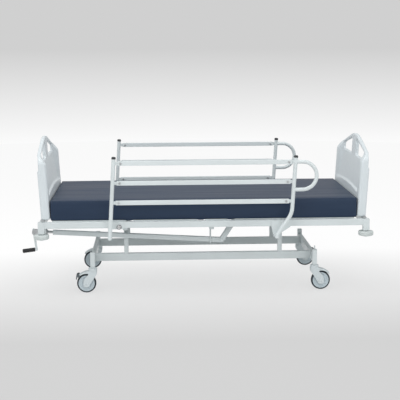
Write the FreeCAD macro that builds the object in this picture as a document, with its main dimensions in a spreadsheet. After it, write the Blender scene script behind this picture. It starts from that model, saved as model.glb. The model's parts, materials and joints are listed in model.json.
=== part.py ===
import FreeCAD, Part
import math
import os
import re
import Sketcher

# Manual hospital bed. The head end is at +X and the crank at the foot end, -X.
# The floor is Z = 0, and the left side (-Y) is the patient's left when lying on the bed.
# Pieces that come in pairs are built once, at -Y or at the head end, and mirrored.

os.makedirs("parts", exist_ok=True)
doc = FreeCAD.newDocument("manual_hospital_bed")
Vector = FreeCAD.Vector

# Driving dimensions, in millimetres and degrees

SIZES = {
    # place of the bed's middle in the part's frame, so that the crank's overhang is centred too
    "bed_middle_x": 47.8,
    # castors
    "wheel_dia": 125.0, "tyre_wide": 30.0, "tyre_thick": 10.0, "castor_trail": 41.0,
    "castor_x": 721.0, "castor_y": 350.0, "axle_dia": 10.0, "running_gap": 0.08,
    "fork_gap": 35.0, "fork_wide": 52.0, "cap_dia": 56.0, "cap_low": 144.0, "cap_high": 164.0,
    "fender_thick": 10.0, "stem_dia": 16.0,
    # base frame
    "wall": 2.0, "post_side": 30.0, "post_top": 263.0, "base_top": 234.0, "base_high": 50.0,
    "base_wide": 28.0, "base_rail_y": 238.0, "support_side": 28.0, "support_x": 505.0,
    # deck frame
    "deck_top": 484.0, "side_high": 40.0, "side_wide": 30.0, "side_y": 455.0,
    "corner_side": 40.0, "corner_x": 1033.0, "corner_low": 410.0,
    "low_tube_top": 454.0, "low_tube_side": 30.0, "seat_tube_x": 45.0,
    "bumper_dia": 96.0, "bumper_high": 30.0, "bumper_gap": 4.0, "bumper_bolt_dia": 12.0,
    # deck panels
    "panel_thick": 2.0, "panel_lip": 6.0, "panel_half_wide": 447.0, "panel_corner": 12.0,
    "calf_low_x": -966.0, "calf_high_x": -496.0, "thigh_low_x": -454.0, "thigh_high_x": -46.0,
    "seat_low_x": 4.0, "seat_high_x": 146.0, "slot_long": 90.0, "slot_wide": 22.0,
    "slot_pitch_x": 180.0, "slot_pitch_y": 190.0,
    # backrest
    "hinge_x": 196.0, "hinge_z": 466.0, "hinge_pin_dia": 12.0, "back_low_x": 182.0,
    "back_high_x": 962.0, "back_tube": 25.0, "back_side_y": 400.0, "lever_top_x": 214.0,
    "lever_top_z": 471.5, "lever_wide": 30.0, "lever_thick": 5.0, "lever_gap": 1.5,
    # crank drive
    "drive_y": -280.0, "push_pin_x": 118.0, "push_pin_z": 324.0, "yoke_x": -1033.0,
    "yoke_z": 390.0, "push_side": 30.0, "push_tail": 62.0, "screw_dia": 18.0,
    "screw_long": 300.0, "knuckle_from": 34.0, "knuckle_long": 44.0, "arm_long": 108.0,
    "arm_thick": 9.0, "arm_wide": 14.0, "arm_lean": 6.9, "fold_pin_from": 66.0,
    "fold_pin_drop": 12.0, "arm_over": 31.0, "grip_dia": 22.0, "grip_long": 82.0, "grip_pin_dia": 10.0,
    "hanger_low": 306.0, "hanger_turn": 12.0, "hanger_dia": 8.0,
    # side rails
    "rail_y": 525.0, "rail_tube_dia": 25.0, "rail_pivot_z": 391.0, "foot_pivot_x": -599.0,
    "rail_pitch": 1050.0, "top_bar_z": 863.0, "bar_pitch": 124.0, "bar_high": 28.0,
    "bar_wide": 18.0, "bar_wall": 1.5, "rail_lean": 0.063, "foot_post_off": 44.0,
    "head_post_off": 42.0, "pin_dia": 8.0, "lug_thick": 8.0, "lug_high": 20.0,
    "post_over_pin": 27.0, "bar_over_pin": 18.0, "bend_rise": 145.0, "bend_radius": 130.0,
    "grip_loop_radius": 87.75, "grip_loop_out": 46.0, "cap_high_end": 14.0,
    "bracket_thick": 6.0, "knob_x": 57.0, "knob_z": 61.0, "knob_dia": 30.0,
    # head and foot boards
    "board_half_wide": 446.0, "board_low": 497.0, "board_peak": 985.0, "board_side_top": 880.0,
    "board_thick": 56.0, "board_in_x": 976.0, "board_lean": 0.063, "board_bow_low": 8.0,
    "board_bow_high": 34.0, "board_edge": 9.0,
    "shoulder_drop": 37.0, "shoulder_in": 33.3, "shoulder_rise": 16.0,
    "waist_low": 798.0, "waist_high": 886.0, "waist_deep": 9.0, "waist_reach": 110.0, "peg_dia": 12.0, "peg_y": 444.0,
    "peg_out": 47.0, "peg_long": 60.0,
    # mattress
    "mattress_half_long": 968.0, "mattress_wide": 884.0, "mattress_low": 491.0,
    "mattress_thick": 125.0, "bend_low_x": 56.0, "bend_high_x": 262.0, "soft_gap": 0.5,
}

sheet = doc.addObject("Spreadsheet::Sheet", "dims")
for row, (alias, size) in enumerate(SIZES.items(), start=1):
    sheet.set(f"A{row}", alias)
    sheet.set(f"B{row}", str(size))
    sheet.setAlias(f"B{row}", alias)
probe = doc.addObject("Part::Vertex", "probe")
doc.recompute()


def terms(expression):
    """Put the sheet's name before each alias in an expression."""
    def named(found):
        return "dims." + found.group() if found.group() in SIZES else found.group()
    return re.sub(r"[a-z][a-z_]*", named, str(expression))


def number(expression):
    """The value of an expression now, for first positions and for choosing edges."""
    probe.setExpression("X", terms(expression))
    probe.recompute()
    return float(probe.X)


def bind(item, **links):
    """Bind properties to the sheet: Placement__Base__x="..." sets Placement.Base.x."""
    for name, expression in links.items():
        item.setExpression(name.replace("__", "."), terms(expression))
    return item


def place(item, x=0, y=0, z=0):
    return bind(item, Placement__Base__x=x, Placement__Base__y=y, Placement__Base__z=z)


# Sketches

def new_body(name):
    return doc.addObject("PartDesign::Body", name + "_body")


def new_sketch(body, plane, offset=0):
    sketch = body.newObject("Sketcher::SketchObject", "sketch")
    flat = next(item for item in body.Origin.OriginFeatures if item.Role == plane)
    sketch.AttachmentSupport = (flat, [""])
    sketch.MapMode = "FlatFace"
    return bind(sketch, AttachmentOffset__Base__z=offset)


def fixed_point(shape, end, x, y):
    """Two limits that hold a point of a shape at a place measured from the origin."""
    return [(Sketcher.Constraint(kind, -1, 1, shape, end, number(size)), size)
            for kind, size in (("DistanceX", x), ("DistanceY", y))]


def constrain(sketch, limits):
    """Add all limits at once, then bind those that have an expression."""
    places = sketch.addConstraint([limit for limit, size in limits])
    for place_in_list, (limit, size) in zip(places, limits):
        if size is not None:
            sketch.setExpression(f"Constraints[{place_in_list}]", terms(size))
    return sketch


def arc_through(sketch, start, middle, end):
    """Draw an arc, whose angles always run anticlockwise, and say which of its ends is the start."""
    ring = Part.Circle(start, middle, end)
    turn = (middle - start).cross(end - middle).z
    ends = (1, 2) if turn > 0 else (2, 1)
    first, last = (start, end) if turn > 0 else (end, start)
    angles = [math.atan2(point.y - ring.Center.y, point.x - ring.Center.x) for point in (first, last)]
    if angles[1] < angles[0]:
        angles[1] += 2 * math.pi
    flat_ring = Part.Circle(ring.Center, Vector(0, 0, 1), ring.Radius)
    return sketch.addGeometry(Part.ArcOfCircle(flat_ring, *angles)), ends


def outline(sketch, points, closed=True):
    """Draw lines between points; a point marked "through" makes an arc of its two neighbours."""
    corners = [point for point in points if len(point) == 2]
    throughs = {sum(len(before) == 2 for before in points[:index]) - 1: point[:2]
                for index, point in enumerate(points) if len(point) == 3}
    order = corners + corners[:1] if closed else corners
    shapes = []
    limits = []
    for index, (start, end) in enumerate(zip(order, order[1:])):
        begin, finish = (Vector(number(x), number(y), 0) for x, y in (start, end))
        if index in throughs:
            middle = Vector(number(throughs[index][0]), number(throughs[index][1]), 0)
            shape, ends = arc_through(sketch, begin, middle, finish)
            mark = sketch.addGeometry(Part.Point(middle), True)
            limits += fixed_point(mark, 1, *throughs[index])
            limits.append((Sketcher.Constraint("PointOnObject", mark, 1, shape), None))
        else:
            shape, ends = sketch.addGeometry(Part.LineSegment(begin, finish)), (1, 2)
        limits += fixed_point(shape, ends[0], *start)
        shapes.append((shape, ends))
    after = shapes[1:] + shapes[:1] if closed else shapes[1:]
    for (shape, ends), (next_shape, next_ends) in zip(shapes, after):
        limits.append((Sketcher.Constraint("Coincident", shape, ends[1], next_shape, next_ends[0]), None))
    if not closed:
        limits += fixed_point(shapes[-1][0], shapes[-1][1][1], *order[-1])
    return constrain(sketch, limits)


def rectangle(sketch, x_low, y_low, x_high, y_high):
    return outline(sketch, [(x_low, y_low), (x_high, y_low), (x_high, y_high), (x_low, y_high)])


def circle(sketch, x, y, radius):
    shape = sketch.addGeometry(Part.Circle(Vector(number(x), number(y), 0), Vector(0, 0, 1), number(radius)))
    round_limit = (Sketcher.Constraint("Radius", shape, number(radius)), radius)
    return constrain(sketch, fixed_point(shape, 3, x, y) + [round_limit])


# Features

def pad(body, sketch, length, midplane=False, flip=False):
    item = body.newObject("PartDesign::Pad", "pad")
    item.Profile = sketch
    item.Midplane = midplane
    item.Reversed = flip
    return bind(item, Length=length)


def pocket(body, sketch, length=None, midplane=False, flip=False):
    item = body.newObject("PartDesign::Pocket", "pocket")
    item.Profile = sketch
    item.Midplane = midplane
    item.Reversed = flip
    if length is None:
        item.Type = "ThroughAll"
        return item
    return bind(item, Length=length)


def edges_along(item, direction):
    """Names of the straight edges along a direction, for a fillet."""
    names = []
    for index, edge in enumerate(item.Shape.Edges, start=1):
        if edge.Curve.TypeId != "Part::GeomLine":
            continue
        way = edge.tangentAt(edge.FirstParameter)
        if abs(abs(way.dot(direction)) - 1) < 1e-6:
            names.append(f"Edge{index}")
    return names


def fillet(body, base, names, radius):
    item = body.newObject("PartDesign::Fillet", "fillet")
    item.Base = (base, names)
    return bind(item, Radius=radius)


def revolve(body, sketch, axis):
    item = body.newObject("PartDesign::Revolution", "revolution")
    item.Profile = sketch
    item.ReferenceAxis = (sketch, [axis])
    item.Angle = 360
    return item


ALONG = {"x": ("YZ_Plane", Vector(1, 0, 0)), "y": ("XZ_Plane", Vector(0, 1, 0)), "z": ("XY_Plane", Vector(0, 0, 1))}


def tube(name, along, length, width, height, thick="wall"):
    """A rectangular tube about its own middle, with rolled corners and an open bore."""
    body = new_body(name)
    plane, way = ALONG[along]
    rolled = f"({thick}) * 1.6"
    outside = rectangle(new_sketch(body, plane), f"-({width}) / 2", f"-({height}) / 2",
                        f"({width}) / 2", f"({height}) / 2")
    solid = pad(body, outside, length, midplane=True)
    doc.recompute()
    fillet(body, solid, edges_along(solid, way), rolled)
    inside = rectangle(new_sketch(body, plane), f"-({width}) / 2 + {thick}", f"-({height}) / 2 + {thick}",
                       f"({width}) / 2 - {thick}", f"({height}) / 2 - {thick}")
    pocket(body, inside, f"({length}) + 2", midplane=True)
    return body


def rod(name, dia, length, x=0, y=0, z=0, way=Vector(0, 0, 1)):
    """A round bar from a point along a direction."""
    item = doc.addObject("Part::Cylinder", name)
    item.Placement.Rotation = FreeCAD.Rotation(Vector(0, 0, 1), way)
    bind(item, Radius=f"({dia}) / 2", Height=length)
    return place(item, x, y, z)


def leaning_rod(name, dia, length, x, y, z, lean):
    """A round bar from a point, leaning from upright toward +X by an angle."""
    item = doc.addObject("Part::Cylinder", name)
    item.Placement.Rotation = FreeCAD.Rotation(Vector(0, 1, 0), 1)
    bind(item, Radius=f"({dia}) / 2", Height=length, Placement__Rotation__Angle=lean)
    return place(item, x, y, z)


def bend(name, dia, radius, sweep, x, y, z, lean="0"):
    """A bent stretch of round bar about a centre, from level at its +X side down by the sweep."""
    ring = doc.addObject("Part::Torus", name)
    ring.Placement.Rotation = FreeCAD.Rotation(Vector(1, 0, 0), -90)
    bind(ring, Radius1=radius, Radius2=f"({dia}) / 2", Angle3=sweep)
    turned = together([ring])
    turned.Placement.Rotation = FreeCAD.Rotation(Vector(0, 1, 0), 1)
    bind(turned, Placement__Rotation__Angle=lean)
    return place(turned, x, y, z)


def fuse(name, *items):
    item = doc.addObject("Part::MultiFuse", name)
    item.Shapes = list(items)
    item.Refine = True
    return item


def cut(name, base, tool):
    item = doc.addObject("Part::Cut", name)
    item.Base = base
    item.Tool = tool
    return item


def together(items):
    """Several separate solids as one group."""
    item = doc.addObject("Part::Compound", "group")
    item.Links = items
    return item


def mirror(name, source, normal):
    item = doc.addObject("Part::Mirroring", name)
    item.Source = source
    item.Normal = normal
    return item


ACROSS_X = Vector(1, 0, 0)
ACROSS_Y = Vector(0, 1, 0)
sub_parts = []


def keep(label, item):
    """Name a finished sub-part and move it into the part's frame."""
    group = doc.addObject("Part::Compound", "node")
    group.Links = item if isinstance(item, list) else [item]
    group.Label = label
    sub_parts.append(place(group, x="bed_middle_x"))
    return item


def keep_sides(label, item):
    """A left piece and its mirror image on the right, as two sub-parts."""
    keep(f"{label}_left", item)
    keep(f"{label}_right", mirror("mirrored", item, ACROSS_Y))


def at_both_sides(item):
    return [item, mirror("mirrored", item, ACROSS_Y)]


def at_four_corners(item):
    other_end = mirror("mirrored", item, ACROSS_X)
    return at_both_sides(item) + at_both_sides(other_end)


# Base frame: two long tubes, two cross tubes, and corner posts that hold the castors' stems

def base_frame():
    long_tube = tube("base_rail", "x", "2 * castor_x - base_wide", "base_wide", "base_high")
    keep("base_rails", at_both_sides(place(long_tube, 0, "-base_rail_y", "base_top - base_high / 2")))
    cross = tube("base_cross", "y", "2 * castor_y - post_side", "base_wide", "base_high")
    place(cross, "castor_x", 0, "base_top - base_high / 2")
    keep("base_cross_tubes", [cross, mirror("mirrored", cross, ACROSS_X)])


def base_posts():
    post_long = "post_top - cap_high - 1"
    shell = tube("base_post", "z", post_long, "post_side", "post_side")
    place(shell, "castor_x", "-castor_y", "cap_high + 1 + (post_top - cap_high - 1) / 2")
    plug = doc.addObject("Part::Box", "stem_plug")
    side = "(post_side - 2 * wall)"
    bind(plug, Length=side, Width=side, Height=40)
    place(plug, f"castor_x - {side} / 2", f"-castor_y - {side} / 2", "cap_high + 1")
    stem = rod("stem", "stem_dia", 30, "castor_x", "-castor_y", "cap_low + 6")
    lid = doc.addObject("Part::Box", "post_lid")
    bind(lid, Length="post_side - 3", Width="post_side - 3", Height=5)
    place(lid, "castor_x - (post_side - 3) / 2", "-castor_y - (post_side - 3) / 2", "post_top - 2")
    posts = at_four_corners(fuse("base_post_whole", shell, plug, stem, lid))
    peg = rod("bag_peg", 8, 27, "castor_x", "-castor_y", "post_top")
    posts[0] = fuse("post_with_peg", posts[0], peg)
    keep("base_posts", posts)


# Castors: a hooded fork that swivels on the stem, a hub, a tyre and, on two of them, a brake

def castor_fork():
    """The moulded fork: a comma-shaped cheek either side of the wheel, a fender and a round cap."""
    body = new_body("castor_fork")
    hub_x = "castor_trail"
    hub_z = "wheel_dia / 2"
    cheek = [("-27", "cap_low + 2"), ("-26", "cap_low - 20"), ("-8", "96", "through"),
             (f"{hub_x} - 16", f"{hub_z} - 19"), (f"{hub_x} + 2", f"{hub_z} - 25", "through"),
             (f"{hub_x} + 20", f"{hub_z} - 15"), (f"{hub_x} + 16", f"{hub_z} + 24", "through"),
             ("31", "cap_low - 26"), ("27", "cap_low + 2")]
    pad(body, outline(new_sketch(body, "XZ_Plane"), cheek), "fork_wide", midplane=True)
    reach = "(wheel_dia / 2 + 3)"
    outer = f"({reach} + fender_thick)"
    fender = [("6", "cap_low - 2"), (f"{hub_x} + {outer} * 0.26", f"{hub_z} + {outer} * 0.966", "through"),
              (f"{hub_x} + {outer} * 0.766", f"{hub_z} + {outer} * 0.643"),
              (f"{hub_x} + {reach} * 0.766", f"{hub_z} + {reach} * 0.643"),
              (f"{hub_x} + {reach} * 0.26", f"{hub_z} + {reach} * 0.966", "through"),
              (f"{hub_x} - {reach} * 0.5", f"{hub_z} + {reach} * 0.866")]
    pad(body, outline(new_sketch(body, "XZ_Plane"), fender), "fork_wide", midplane=True)
    wheel_room = circle(new_sketch(body, "XZ_Plane"), hub_x, hub_z, reach)
    pocket(body, wheel_room, "fork_gap", midplane=True)
    cap = circle(new_sketch(body, "XY_Plane", "cap_low"), 0, 0, "cap_dia / 2")
    solid = pad(body, cap, "cap_high - cap_low")
    doc.recompute()
    rim = [f"Edge{index}" for index, edge in enumerate(solid.Shape.Edges, start=1)
           if edge.Curve.TypeId == "Part::GeomCircle" and abs(edge.CenterOfMass.z - number("cap_high")) < 0.01]
    chamfer = body.newObject("PartDesign::Chamfer", "cap_edge")
    chamfer.Base = (solid, rim)
    chamfer.Size = 3
    socket = circle(new_sketch(body, "XY_Plane", "cap_high"), 0, 0, "stem_dia / 2 + running_gap")
    pocket(body, socket, "cap_high - cap_low - 5")
    axle = circle(new_sketch(body, "XZ_Plane"), hub_x, hub_z, "axle_dia / 2")
    pad(body, axle, "fork_wide + 4", midplane=True)
    return place(body, "castor_x", "-castor_y", 0)


def castor_hub():
    body = new_body("castor_hub")
    rim = "wheel_dia / 2 - tyre_thick"
    half = "tyre_wide / 2"
    bore = "axle_dia / 2 + running_gap"
    section = [(bore, f"-{half} - 2"), ("14", f"-{half} - 2"), ("17", f"-{half} + 4"), ("40", f"-{half} + 4"),
               (f"{rim} - 5", f"-{half} + 1"), (rim, f"-{half} + 1"), (rim, f"{half} - 1"),
               (f"{rim} - 5", f"{half} - 1"), ("40", f"{half} - 4"), ("17", f"{half} - 4"),
               ("14", f"{half} + 2"), (bore, f"{half} + 2")]
    revolve(body, outline(new_sketch(body, "XY_Plane"), section), "V_Axis")
    return place(body, "castor_x + castor_trail", "-castor_y", "wheel_dia / 2")


def castor_tyre():
    body = new_body("castor_tyre")
    low = "wheel_dia / 2 - tyre_thick"
    high = "wheel_dia / 2"
    half = "tyre_wide / 2"
    section = [(low, f"-{half} + 1"), (f"{low} + 5", f"-{half}"), (f"{high} - 2", f"-{half} + 5"),
               (high, f"-{half} + 11"), (high, f"{half} - 11"), (f"{high} - 2", f"{half} - 5"),
               (f"{low} + 5", half), (low, f"{half} - 1")]
    revolve(body, outline(new_sketch(body, "XY_Plane"), section), "V_Axis")
    return place(body, "castor_x + castor_trail", "-castor_y", "wheel_dia / 2")


def brake_pedal():
    """A tread plate on two ears that turn on the fender's end."""
    body = new_body("brake_pedal")
    tread = [("-7", "-7"), ("0", "-10", "through"), ("7", "-5"), ("13", "-22"), ("18", "-22"), ("15", "6"),
             ("4", "10"), ("-6", "5", "through")]
    pad(body, outline(new_sketch(body, "XZ_Plane"), tread), "fork_wide + 14", midplane=True)
    room = rectangle(new_sketch(body, "XZ_Plane"), -20, -30, "10.5", 30)
    pocket(body, room, "fork_wide + 1", midplane=True)
    pin = circle(new_sketch(body, "XZ_Plane"), 0, 0, 3)
    pad(body, pin, "fork_wide + 8", midplane=True)
    return place(body, "castor_x + castor_trail + 49", "-castor_y", "wheel_dia / 2 + 52")


def castors():
    fork = castor_fork()
    hub = castor_hub()
    tyre = castor_tyre()
    pedal = brake_pedal()
    pin_hole = rod("pedal_pin_hole", "6 + 2 * running_gap", 90, "castor_x + castor_trail + 49",
                   "-castor_y + 45", "wheel_dia / 2 + 52", Vector(0, -1, 0))
    braked_fork = cut("braked_fork", fork, pin_hole)
    corners = {
        "head_left": (fork, []),
        "head_right": (braked_fork, [ACROSS_Y]),
        "foot_left": (braked_fork, [ACROSS_X]),
        "foot_right": (fork, [ACROSS_X, ACROSS_Y]),
    }
    for corner, (corner_fork, flips) in corners.items():
        pieces = {"castor_fork": corner_fork, "castor_hub": hub, "castor_tyre": tyre}
        if corner_fork is braked_fork:
            pieces["brake_pedal"] = pedal
        for name, item in pieces.items():
            for normal in flips:
                item = mirror("mirrored", item, normal)
            keep(f"{name}_{corner}", item)


# Deck frame on its support posts

def support_posts():
    high = "(low_tube_top - low_tube_side - base_top)"
    post = tube("support_post", "z", high, "support_side", "support_side")
    place(post, "support_x", "-base_rail_y", f"base_top + {high} / 2")
    keep("support_posts", at_four_corners(post))


def deck_tubes():
    long_tube = tube("side_tube", "x", "2 * corner_x - corner_side", "side_wide", "side_high")
    keep("deck_side_tubes", at_both_sides(place(long_tube, 0, "-side_y", "deck_top - side_high / 2")))
    between = "2 * side_y - side_wide"
    end = tube("end_tube", "y", "2 * side_y - corner_side", "side_wide", "side_high")
    place(end, "corner_x", 0, "deck_top - side_high / 2")
    low = tube("low_tube", "y", between, "low_tube_side", "low_tube_side")
    place(low, "support_x", 0, "low_tube_top - low_tube_side / 2")
    seat = tube("seat_tube", "y", between, "low_tube_side", "low_tube_side")
    place(seat, "seat_tube_x", 0, "low_tube_top - low_tube_side / 2")
    keep("deck_cross_tubes", [end, mirror("mirrored", end, ACROSS_X), low, mirror("mirrored", low, ACROSS_X), seat])


def corner_sockets():
    """Corner post that takes the board's peg, with the bumper's bolt under it."""
    high = "(deck_top - corner_low)"
    shell = tube("corner_post", "z", high, "corner_side", "corner_side")
    place(shell, "corner_x", "-side_y", f"corner_low + {high} / 2")
    inner = "(corner_side - 2 * wall)"
    plates = []
    for bottom in ("corner_low", "deck_top - 4"):
        plate = doc.addObject("Part::Box", "socket_plate")
        bind(plate, Length=inner, Width=inner, Height=4)
        plates.append(place(plate, f"corner_x - {inner} / 2", f"-side_y - {inner} / 2", bottom))
    bolt_long = "(bumper_high + 2 * bumper_gap)"
    bolt = rod("bumper_bolt", "bumper_bolt_dia", bolt_long, "corner_x", "-side_y", f"corner_low - {bolt_long}")
    head = rod("bumper_head", 26, 5, "corner_x", "-side_y", f"corner_low - {bolt_long} - 3")
    whole = fuse("corner_whole", shell, bolt, head, *plates)
    hole = rod("peg_hole", "peg_dia + 1", 10, "board_in_x + peg_out", "-peg_y", "deck_top - 8")
    keep("corner_sockets", at_four_corners(cut("corner_socket", whole, hole)))


def bumper_rollers():
    body = new_body("bumper_roller")
    bore = "bumper_bolt_dia / 2 + running_gap"
    half = "bumper_high / 2"
    edge = "bumper_dia / 2"
    section = [(bore, f"-{half}"), (f"{edge} - 5", f"-{half}"), (f"{edge} - 1.5", f"-{half} + 1.5"),
               (edge, f"-{half} + 5"), (edge, f"{half} - 5"), (f"{edge} - 1.5", f"{half} - 1.5"),
               (f"{edge} - 5", half), ("20", half), ("16", f"{half} - 3"), (bore, f"{half} - 3")]
    revolve(body, outline(new_sketch(body, "XZ_Plane"), section), "V_Axis")
    place(body, "corner_x", "-side_y", f"corner_low - bumper_gap - {half}")
    other = mirror("mirrored", body, ACROSS_X)
    keep_sides("bumper_roller_head", body)
    keep_sides("bumper_roller_foot", other)


# Deck panels: folded sheet with a row of vents

def panel(name, low_x, high_x, half_wide, slots):
    """A sheet with folded-down lips and a field of vent slots."""
    body = new_body(name)
    middle = f"(({low_x}) + ({high_x})) / 2"
    half_long = f"(({high_x}) - ({low_x})) / 2"
    sheet_metal = rectangle(new_sketch(body, "XY_Plane"), f"-{half_long}", f"-{half_wide}", half_long, half_wide)
    solid = pad(body, sheet_metal, "panel_lip")
    doc.recompute()
    fillet(body, solid, edges_along(solid, Vector(0, 0, 1)), "panel_corner")
    hollow = rectangle(new_sketch(body, "XY_Plane"), f"-{half_long} + panel_corner", f"-{half_wide} + panel_corner",
                       f"{half_long} - panel_corner", f"{half_wide} - panel_corner")
    pocket(body, hollow, "panel_lip - panel_thick", flip=True)
    columns, rows = slots
    first_x = f"(-slot_pitch_x * {(columns - 1) / 2})"
    first_y = f"(-slot_pitch_y * {(rows - 1) / 2})"
    slot = rectangle(new_sketch(body, "XY_Plane"), f"{first_x} - slot_long / 2", f"{first_y} - slot_wide / 2",
                     f"{first_x} + slot_long / 2", f"{first_y} + slot_wide / 2")
    hole = pocket(body, slot, "panel_lip", flip=True)
    pattern = body.newObject("PartDesign::MultiTransform", "vent_slots")
    steps = []
    for axis, count, pitch in (("H_Axis", columns, "slot_pitch_x"), ("V_Axis", rows, "slot_pitch_y")):
        step = body.newObject("PartDesign::LinearPattern", "step")
        step.Direction = (hole.Profile[0], [axis])
        step.Occurrences = count
        bind(step, Length=f"{pitch} * {max(count - 1, 1)}")
        steps.append(step)
    pattern.Originals = [hole]
    pattern.Transformations = steps
    body.Tip = pattern
    return place(body, middle, 0, "mattress_low - panel_lip - 0.5")


def deck_panels():
    wide = "panel_half_wide"
    keep("deck_panels", [
        panel("calf_panel", "calf_low_x", "calf_high_x", wide, (2, 4)),
        panel("thigh_panel", "thigh_low_x", "thigh_high_x", wide, (2, 4)),
        panel("seat_panel", "seat_low_x", "seat_high_x", wide, (1, 4)),
    ])
    inside = "(side_y - side_wide / 2 - 2)"
    keep("backrest_panel", panel("back_panel", "back_low_x", "back_high_x", inside, (4, 4)))


# Backrest frame, its hinges and the lift lever

def hinge_lugs():
    body = new_body("hinge_lug")
    lug = [("-14", "-18"), ("14", "-18"), ("14", "0"), ("0", "14", "through"), ("-14", "0")]
    pad(body, outline(new_sketch(body, "XZ_Plane"), lug), 5, midplane=True)
    bore = circle(new_sketch(body, "XZ_Plane"), 0, 0, "hinge_pin_dia / 2 + running_gap")
    pocket(body, bore, 10, midplane=True)
    place(body, "hinge_x", "-side_y + side_wide / 2 + 2.5", "hinge_z")
    keep("hinge_lugs", at_both_sides(body))


def backrest_frame():
    long = "(back_high_x - back_low_x - 20)"
    side = tube("back_side", "x", long, "back_tube", "back_tube")
    place(side, f"back_low_x + 2 + {long} / 2", "-back_side_y", "hinge_z + 5.5")
    across = "2 * back_side_y - back_tube"
    pin_long = "side_y - side_wide / 2 - 1 - back_side_y"
    pin = rod("hinge_pin", "hinge_pin_dia", pin_long, "hinge_x", "-back_side_y", "hinge_z", Vector(0, -1, 0))
    pieces = at_both_sides(fuse("back_side_whole", side, pin))
    for name, x in (("back_low_cross", "hinge_x + 22"), ("back_mid_cross", "(hinge_x + back_high_x) / 2"),
                    ("back_high_cross", "back_high_x - 40")):
        pieces.append(place(tube(name, "y", across, "back_tube", "back_tube"), x, 0, "hinge_z + 5.5"))
    keep("backrest_frame", pieces)


def lift_lever():
    """Two plates from the backrest's low cross tube down to the push tube's eye."""
    body = new_body("lift_lever")
    run_x = "(lever_top_x - push_pin_x)"
    run_z = "(lever_top_z - push_pin_z)"
    slope = f"sqrt({run_x} * {run_x} + {run_z} * {run_z})"
    off_x = f"(lever_wide / 2 * {run_z} / {slope})"
    off_z = f"(lever_wide / 2 * {run_x} / {slope})"
    end_x = f"(lever_wide / 2 * {run_x} / {slope})"
    end_z = f"(lever_wide / 2 * {run_z} / {slope})"
    plate = [(f"-{off_x}", off_z), (f"-{end_x}", f"-{end_z}", "through"), (off_x, f"-{off_z}"),
             (f"{run_x} + {off_x}", f"{run_z} - {off_z}"), (f"{run_x} - {off_x}", f"{run_z} + {off_z}")]
    outside = "push_side + 2 * lever_gap + 2 * lever_thick"
    pad(body, outline(new_sketch(body, "XZ_Plane"), plate), outside, midplane=True)
    room = rectangle(new_sketch(body, "XZ_Plane"), "-60", "-60", "200", "200")
    pocket(body, room, "push_side + 2 * lever_gap", midplane=True)
    place(body, "push_pin_x", "drive_y", "push_pin_z")
    tube_room = doc.addObject("Part::Box", "cross_tube_room")
    bind(tube_room, Length="back_tube", Width=80, Height="back_tube + 20")
    place(tube_room, "hinge_x + 22 - back_tube / 2", "drive_y - 40", "hinge_z + 5.5 - back_tube / 2")
    plates = cut("lever_plates", body, tube_room)
    heads = []
    for sign in ("-1", "1"):
        way = Vector(0, float(sign), 0)
        heads.append(rod("lever_bolt", 18, 5, "push_pin_x", f"drive_y + {sign} * ({outside}) / 2", "push_pin_z", way))
    keep("lift_lever", [plates] + heads)


# Crank drive, built level along X from the yoke's pin and then tilted to the push tube's line

drive_tilt = number("atan2(yoke_z - push_pin_z; push_pin_x - yoke_x)")
drive_long = "sqrt((push_pin_x - yoke_x) * (push_pin_x - yoke_x) + (yoke_z - push_pin_z) * (yoke_z - push_pin_z))"


def tilt(item):
    """Turn a level drive piece about the yoke's pin onto the push tube's line."""
    item.Placement.Rotation = FreeCAD.Rotation(Vector(0, 1, 0), drive_tilt)
    bind(item, Placement__Rotation__Angle="atan2(yoke_z - push_pin_z; push_pin_x - yoke_x)")
    return place(item, "yoke_x", "drive_y", "yoke_z")


def crank_bracket():
    """A hanger of two cheeks under the foot end tube, holding the yoke's pins."""
    body = new_body("crank_bracket")
    cheek = [("-15", "deck_top - side_high - yoke_z"), ("-15", "0"), ("0", "-15", "through"), ("15", "0"),
             ("15", "deck_top - side_high - yoke_z")]
    pad(body, outline(new_sketch(body, "XZ_Plane"), cheek), 60, midplane=True)
    room = rectangle(new_sketch(body, "XZ_Plane"), -30, -40, 30, "deck_top - side_high - yoke_z - 5")
    pocket(body, room, 48, midplane=True)
    bore = circle(new_sketch(body, "XZ_Plane"), 0, 0, "6 + running_gap")
    pocket(body, bore, 80, midplane=True)
    keep("crank_bracket", place(body, "yoke_x", "drive_y", "yoke_z"))


def drive_yoke():
    body = new_body("drive_yoke")
    block = rectangle(new_sketch(body, "XZ_Plane"), -18, -16, 18, 16)
    pad(body, block, 40, midplane=True)
    pad(body, circle(new_sketch(body, "XZ_Plane"), 0, 0, 6), 60, midplane=True)
    bore = circle(new_sketch(body, "YZ_Plane"), 0, 0, "screw_dia / 2 + running_gap")
    pocket(body, bore, 60, midplane=True)
    keep("drive_yoke", tilt(body))


def crank_screw():
    """The screw with its thrust collars and the knuckle that the crank arm folds on."""
    body = new_body("crank_screw")
    radius = "screw_dia / 2"
    section = [("-knuckle_from - 2", 0), ("-knuckle_from - 2", radius), ("-25", radius), ("-25", 13), ("-19", 13),
               ("-19", radius), ("19", radius), ("19", 13), ("25", 13), ("25", radius),
               ("screw_long - 4", radius), ("screw_long", f"{radius} - 4"), ("screw_long", 0)]
    revolve(body, outline(new_sketch(body, "XZ_Plane"), section), "H_Axis")
    out = "-knuckle_from - knuckle_long"
    side = [("-knuckle_from", -14), ("-knuckle_from", 14), (f"{out} + 8", 14), (out, 6), (out, -14),
            (f"{out} + 10", -22), ("-fold_pin_from + 12", -22)]
    pad(body, outline(new_sketch(body, "XZ_Plane"), side), 28, midplane=True)
    slot = rectangle(new_sketch(body, "XZ_Plane"), f"{out} - 5", -40, "-knuckle_from - 6", 30)
    pocket(body, slot, "arm_thick + 1", midplane=True)
    pin = circle(new_sketch(body, "XZ_Plane"), "-fold_pin_from", "-fold_pin_drop", 4)
    pad(body, pin, 34, midplane=True)
    keep("crank_screw", tilt(body))


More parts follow.
